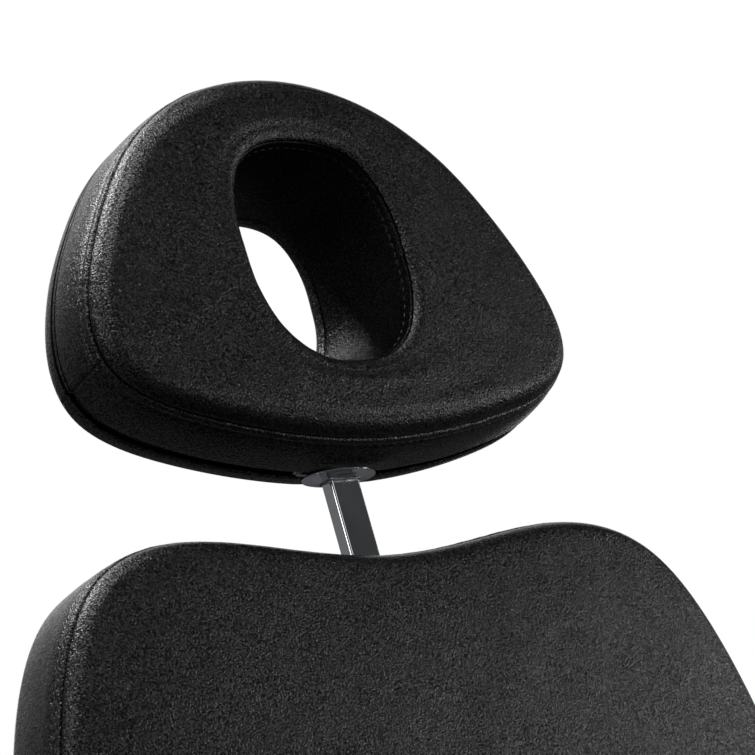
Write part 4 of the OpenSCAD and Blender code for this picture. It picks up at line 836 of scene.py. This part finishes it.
for side, join, off in (("Right", headSet["joins"][0], 4), ("Left", headSet["joins"][1], -4)):
    knot = knotAt(headOutline, join + off * mm / headOutline["length"])
    path = [headFrame @ seamPoint(knot, z, -2.4) for z in range(-10, -50, -2)]
    stitchRow("band%sStitches" % side, surface, path, "headrest", closed=False)
print("headrest cover made,", len(bm.faces), "faces")
bm.free()


# zip in the lower band: two rows of coil in the groove and a slider
zipSet = {"pitch": 1.5 * mm, "tooth": (0.5, 0.95, 0.55), "apart": 0.85, "reach": 0.192,
          "slider": 0.0335, "flangeHalf": 27 * mm}


def zipFrame(along, z, inset):
    # x along the zip, y across it, z out of the band
    knot = knotAt(headOutline, along)
    here = seamPoint(knot, z, inset)
    run = (seamPoint(knot + 0.001, z, inset) - here).normalized()
    across = Vector((0, 0, 1))
    out = run.cross(across).normalized()
    turn = Matrix((run, out.cross(run), out)).transposed().to_4x4()
    return headFrame @ Matrix.Translation(here) @ turn


bm = bmesh.new()
bmesh.ops.create_uvsphere(bm, u_segments=6, v_segments=4, radius=1,
                          matrix=Matrix.Diagonal([c * mm for c in zipSet["tooth"]] + [1]))
tooth = bpy.data.meshes.new("tooth")
bm.to_mesh(tooth)
bm.free()
bm = bmesh.new()
reach = zipSet["reach"]
count = int(2 * reach * headOutline["length"] / zipSet["pitch"])
for i in range(count + 1):
    along = (-reach + 2 * reach * i / count) % 1.0
    if abs(seamPoint(knotAt(headOutline, along), zipZ, 0).x) > zipSet["flangeHalf"]:
        for side in (-1, 1):
            addCopy(bm, tooth, zipFrame(along, zipZ + side * zipSet["apart"], 1.2))
bpy.data.meshes.remove(tooth)
zipCoil = finishPiece("zipCoil", bm, finishes["coil"], "headrest", mend=False)
bm.free()

bm = bmesh.new()
sliderPlace = zipFrame(1 - zipSet["slider"], zipZ, 0.4)
# the slider's body, its bridge and the pull that hangs on it
for size, at in (((7, 5.6, 2.2), (0, 0, 0)), ((2.4, 1.8, 1.4), (0.5, 0, 1.5)),
                 ((8, 2.8, 0.7), (3, 0, 2.1))):
    sized = Matrix.Diagonal([c * mm for c in size] + [1])
    spot = sliderPlace @ Matrix.Translation([c * mm for c in at])
    made = bmesh.ops.create_cube(bm, size=1, matrix=spot @ sized)["verts"]
    edges = list({e for v in made for e in v.link_edges})
    bmesh.ops.bevel(bm, geom=edges, offset=0.4 * mm, segments=3, profile=0.5, affect="EDGES",
                    material=-1)
zipSlider = finishPiece("zipSlider", bm, finishes["zinc"], "headrest")
bm.free()
print("zip made")


# rear pad of the headrest: its own wall of the face hole, a dome and an edge sewn behind the band
rearSet = {
    "crown": 33, "rim": -56.3, "boardSide": -66.6, "edge": 2.5, "recess": 13.7,
    "domeTable": [(0, 0.9), (0.04, 0.965), (0.1, 1), (0.35, 0.95), (0.6, 0.76), (0.8, 0.5),
                  (0.93, 0.24), (0.975, 0.12), (1, 0.03)],
}
rim = rearSet["rim"]
bm = bmesh.new()
headLayers = ringStart(bm, [k / 288 for k in range(288)])
for v in bm.verts:
    v.co = liningPlace(rearSet["recess"], rearSet["boardSide"])(v)
first = list(bm.edges)
edges = first
wallRings = [(2.6, 1), (1.4, 0), (0.5, -0.4), (-0.1, -1.1), (-0.5, -2.6), (-0.2, -3.6), (-0.5, -4.6),
             (-0.3, -7), (0.3, -8.6), (1.2, -9.8)]
for inset, z in ([(rearSet["recess"], rim), (4, rim), (4, liningEnd + 5)]
                 + [(inset, liningEnd + z) for inset, z in wallRings]):
    edges = growRing(bm, edges, liningPlace(inset, z))
steps = 36
for k in range(1, steps + 1):
    f = k / steps
    f = 0.03 + 0.97 * f ** 0.9
    z = rim - fromTable(rearSet["domeTable"], f) * rearSet["crown"]

    def domePlace(knot, along):
        p = holePoint(knot, z, 0).lerp(seamPoint(knot, rim, rearSet["edge"]), f)
        lift = noise.noise(Vector((p.x * 14, p.y * 14, 9.5))) * 0.6 * math.sin(math.pi * f)
        p.z = (z - lift) * mm
        return p

    edges = growRing(bm, edges, onRing(domePlace))
for inset, z in ((3.4, rim), (7, rim), (rearSet["recess"], rim),
                 (rearSet["recess"], rearSet["boardSide"])):
    edges = growRing(bm, edges, onRing(lambda knot, along: seamPoint(knot, z, inset)))
bmesh.ops.bridge_loops(bm, edges=first + edges)
bm.transform(headFrame)
headRear = finishPiece("headrestRear", bm, leathers["back"], "headrest")
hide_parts("headrest_rear_pad")
surface = BVHTree.FromBMesh(bm)
path = [headFrame @ holePoint(knotAt(holeOutline, k), liningEnd - 3.6, 0) for k in loop]
stitchRow("rearHoleStitches", surface, path, "headrest")
print("headrest rear made,", len(bm.faces), "faces")
bm.free()


# pressed oval flanges where the bar enters the headrest and the backrest, and the weld round the bar
flangeSet = {
    "half": (30, 17), "around": 72,
    # share of the outline, height in mm
    "profile": [(0.93, 0.05), (0.985, 0.1), (1, 0.4), (1, 0.9), (0.99, 1.25), (0.965, 1.45),
                (0.93, 1.5), (0.85, 1.75), (0.75, 2.2), (0.65, 2.8), (0.57, 3.35), (0.5, 3.8),
                (0.44, 4)],
}


def flange(name, node, body, place):
    bm = bmesh.new()
    bmesh.ops.create_circle(bm, segments=flangeSet["around"], radius=1)
    turnLayer = bm.verts.layers.float.new("turn")
    for v in bm.verts:
        v[turnLayer] = math.atan2(v.co.y, v.co.x)
    halfX, halfY = flangeSet["half"]

    def placeOn(share, height):
        x, y = halfX * share, halfY * share
        return lambda v: Vector((math.cos(v[turnLayer]) * x, math.sin(v[turnLayer]) * y, height)) * mm

    for v in bm.verts:
        v.co = placeOn(*flangeSet["profile"][0])(v)
    first = edges = list(bm.edges)
    for row in flangeSet["profile"][1:]:
        edges = growRing(bm, edges, placeOn(*row))
    bmesh.ops.edgeloop_fill(bm, edges=edges)
    bmesh.ops.edgeloop_fill(bm, edges=first)
    bm.transform(place)
    piece = finishPiece(name, bm, finishes["chrome"], body)
    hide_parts(node)
    bm.free()


toFlange = Matrix.Rotation(math.radians(90), 4, "X")
flange("headrestFlange", "headrest_flange", "headrest",
       headFrame @ Matrix.Translation((0, -0.14614, -0.044)) @ toFlange)
flange("socketFlange", "socket_flange", "backrest",
       backFrame @ Matrix.Translation((0, 0.7067, -0.003)) @ toFlange.inverted())

weldSet = {"barHalf": (12.2, 5.7), "pitch": 1.5, "bead": (1.2, 1.2, 1.1), "below": -150.2,
           "level": -44}
bm = bmesh.new()
bmesh.ops.create_icosphere(bm, subdivisions=2, radius=1)
bead = bpy.data.meshes.new("bead")
bm.to_mesh(bead)
bm.free()
bm = bmesh.new()
halfX, halfZ = weldSet["barHalf"]
corners = [Vector((x * halfX, z * halfZ)) for x, z in ((-1, -1), (1, -1), (1, 1), (-1, 1))]
for i, corner in enumerate(corners):
    side = corners[(i + 1) % 4] - corner
    count = round(side.length / weldSet["pitch"])
    for j in range(count):
        spot = corner + side * (j / count)
        wander = noise.noise(Vector((spot.x * 0.7, spot.y * 0.7, 3.3)))
        at = Vector((spot.x, weldSet["below"] + wander * 0.4, weldSet["level"] + spot.y))
        place = Matrix.Translation(at * mm)
        turn = Matrix.Rotation(math.atan2(side.y, side.x), 4, "Y")
        sized = Matrix.Diagonal([c * mm * (1 + 0.18 * wander) for c in weldSet["bead"]] + [1])
        addCopy(bm, bead, headFrame @ place @ turn @ sized)
bpy.data.meshes.remove(bead)
weld = finishPiece("barWeld", bm, finishes["weld"], "headrest", mend=False)
bm.free()
print("flanges and weld made")


# floor, light and air
floorGloss = {"Specular IOR Level": 0.2}
floorMaterial, floorTree, floorShader, floorPlace = startMaterial("greyFloor", 0, floorGloss)
dust = grainPattern(floorTree, floorPlace, 0.4, 3)
tint = addNode(floorTree, "ShaderNodeMix", {6: srgb("#6a6a6c"), 7: srgb("#737375")}, {0: dust},
               data_type="RGBA")
floorTree.links.new(tint.outputs[2], floorShader.inputs["Base Color"])
floorTree.links.new(rangeOf(floorTree, dust, 0.3, 0.7, 0.6, 0.75), floorShader.inputs["Roughness"])
bm = bmesh.new()
bmesh.ops.create_circle(bm, segments=96, radius=5.5, cap_ends=True)
floorMesh = bpy.data.meshes.new("floor")
bm.to_mesh(floorMesh)
bm.free()
floorMesh.materials.append(floorMaterial)
floor = bpy.data.objects.new("floor", floorMesh)
scene.collection.objects.link(floor)

lampSet = [
    # name, place, aimed at, width, height, watts
    ("rimLamp", (-0.6, 2.5, 3.3), (-0.1, 0.6, 1.3), 0.9, 0.9, 62),
    ("topLamp", (-0.2, 0.5, 3.4), (0, 0.5, 1.3), 0.7, 0.7, 22),
    ("frontLamp", (0.3, -2.0, 3.4), (0, 0.2, 1.0), 1.2, 1.0, 5),
    ("sideLamp", (2.6, -0.5, 1.9), (0, 0.4, 1.1), 0.6, 0.9, 12),
    ("fillLamp", (2.3, -1.6, 1.9), (0, 0.5, 1.2), 0.5, 0.5, 9),
    ("edgeLamp", (-1.98, 0.25, 2.2), (0, 0.55, 1.15), 0.8, 0.8, 11),
]
for name, place, aim, width, height, watts in lampSet:
    lamp = bpy.data.lights.new(name, "AREA")
    lamp.shape = "RECTANGLE"
    lamp.size = width
    lamp.size_y = height
    lamp.energy = watts
    rig = bpy.data.objects.new(name, lamp)
    rig.location = place
    rig.rotation_euler = (Vector(aim) - Vector(place)).to_track_quat("-Z", "Y").to_euler()
    scene.collection.objects.link(rig)

world = bpy.data.worlds.new("studio")
world.use_nodes = True
scene.world = world
tree = world.node_tree
tree.nodes.clear()
out = addNode(tree, "ShaderNodeOutputWorld")
way = addNode(tree, "ShaderNodeTexCoord").outputs["Generated"]
# a white sheet stands behind the chair; the rest of the room is a plain grey under a dark ceiling:
# how bright each looks, where the ceiling and the sheet begin and end, and the room's own light
roomSet = {"grey": 0.22, "ceiling": 0.06, "rise": (0.1, 0.5), "sheet": (0.5, 0.857, 0.12),
           "sheetEdge": (0.85, 0.915), "glow": 0.1}
toSheet = addNode(tree, "ShaderNodeVectorMath", {1: roomSet["sheet"]}, {0: way},
                  operation="DOT_PRODUCT").outputs["Value"]
height = addNode(tree, "ShaderNodeSeparateXYZ", {}, {0: way}).outputs["Z"]
room = rangeOf(tree, height, *roomSet["rise"], roomSet["grey"], roomSet["ceiling"])
sheet = rangeOf(tree, toSheet, *roomSet["sheetEdge"], 0, 1)
seen = addNode(tree, "ShaderNodeMix", {3: 1.0}, {0: sheet, 2: room}).outputs[0]
paths = addNode(tree, "ShaderNodeLightPath").outputs
rays = mathOf(tree, "ADD", mathOf(tree, "ADD", paths["Is Camera Ray"], paths["Is Glossy Ray"]),
              paths["Is Transmission Ray"])
plain = addNode(tree, "ShaderNodeBackground", {"Color": (1, 1, 1, 1), "Strength": roomSet["glow"]})
shown = addNode(tree, "ShaderNodeBackground", {"Color": (1, 1, 1, 1)}, {"Strength": seen})
mixed = addNode(tree, "ShaderNodeMixShader", {}, {0: rays, 1: plain.outputs[0], 2: shown.outputs[0]})
tree.links.new(mixed.outputs[0], out.inputs[0])
scene.view_settings.view_transform = "Standard"
print("stage and light set")
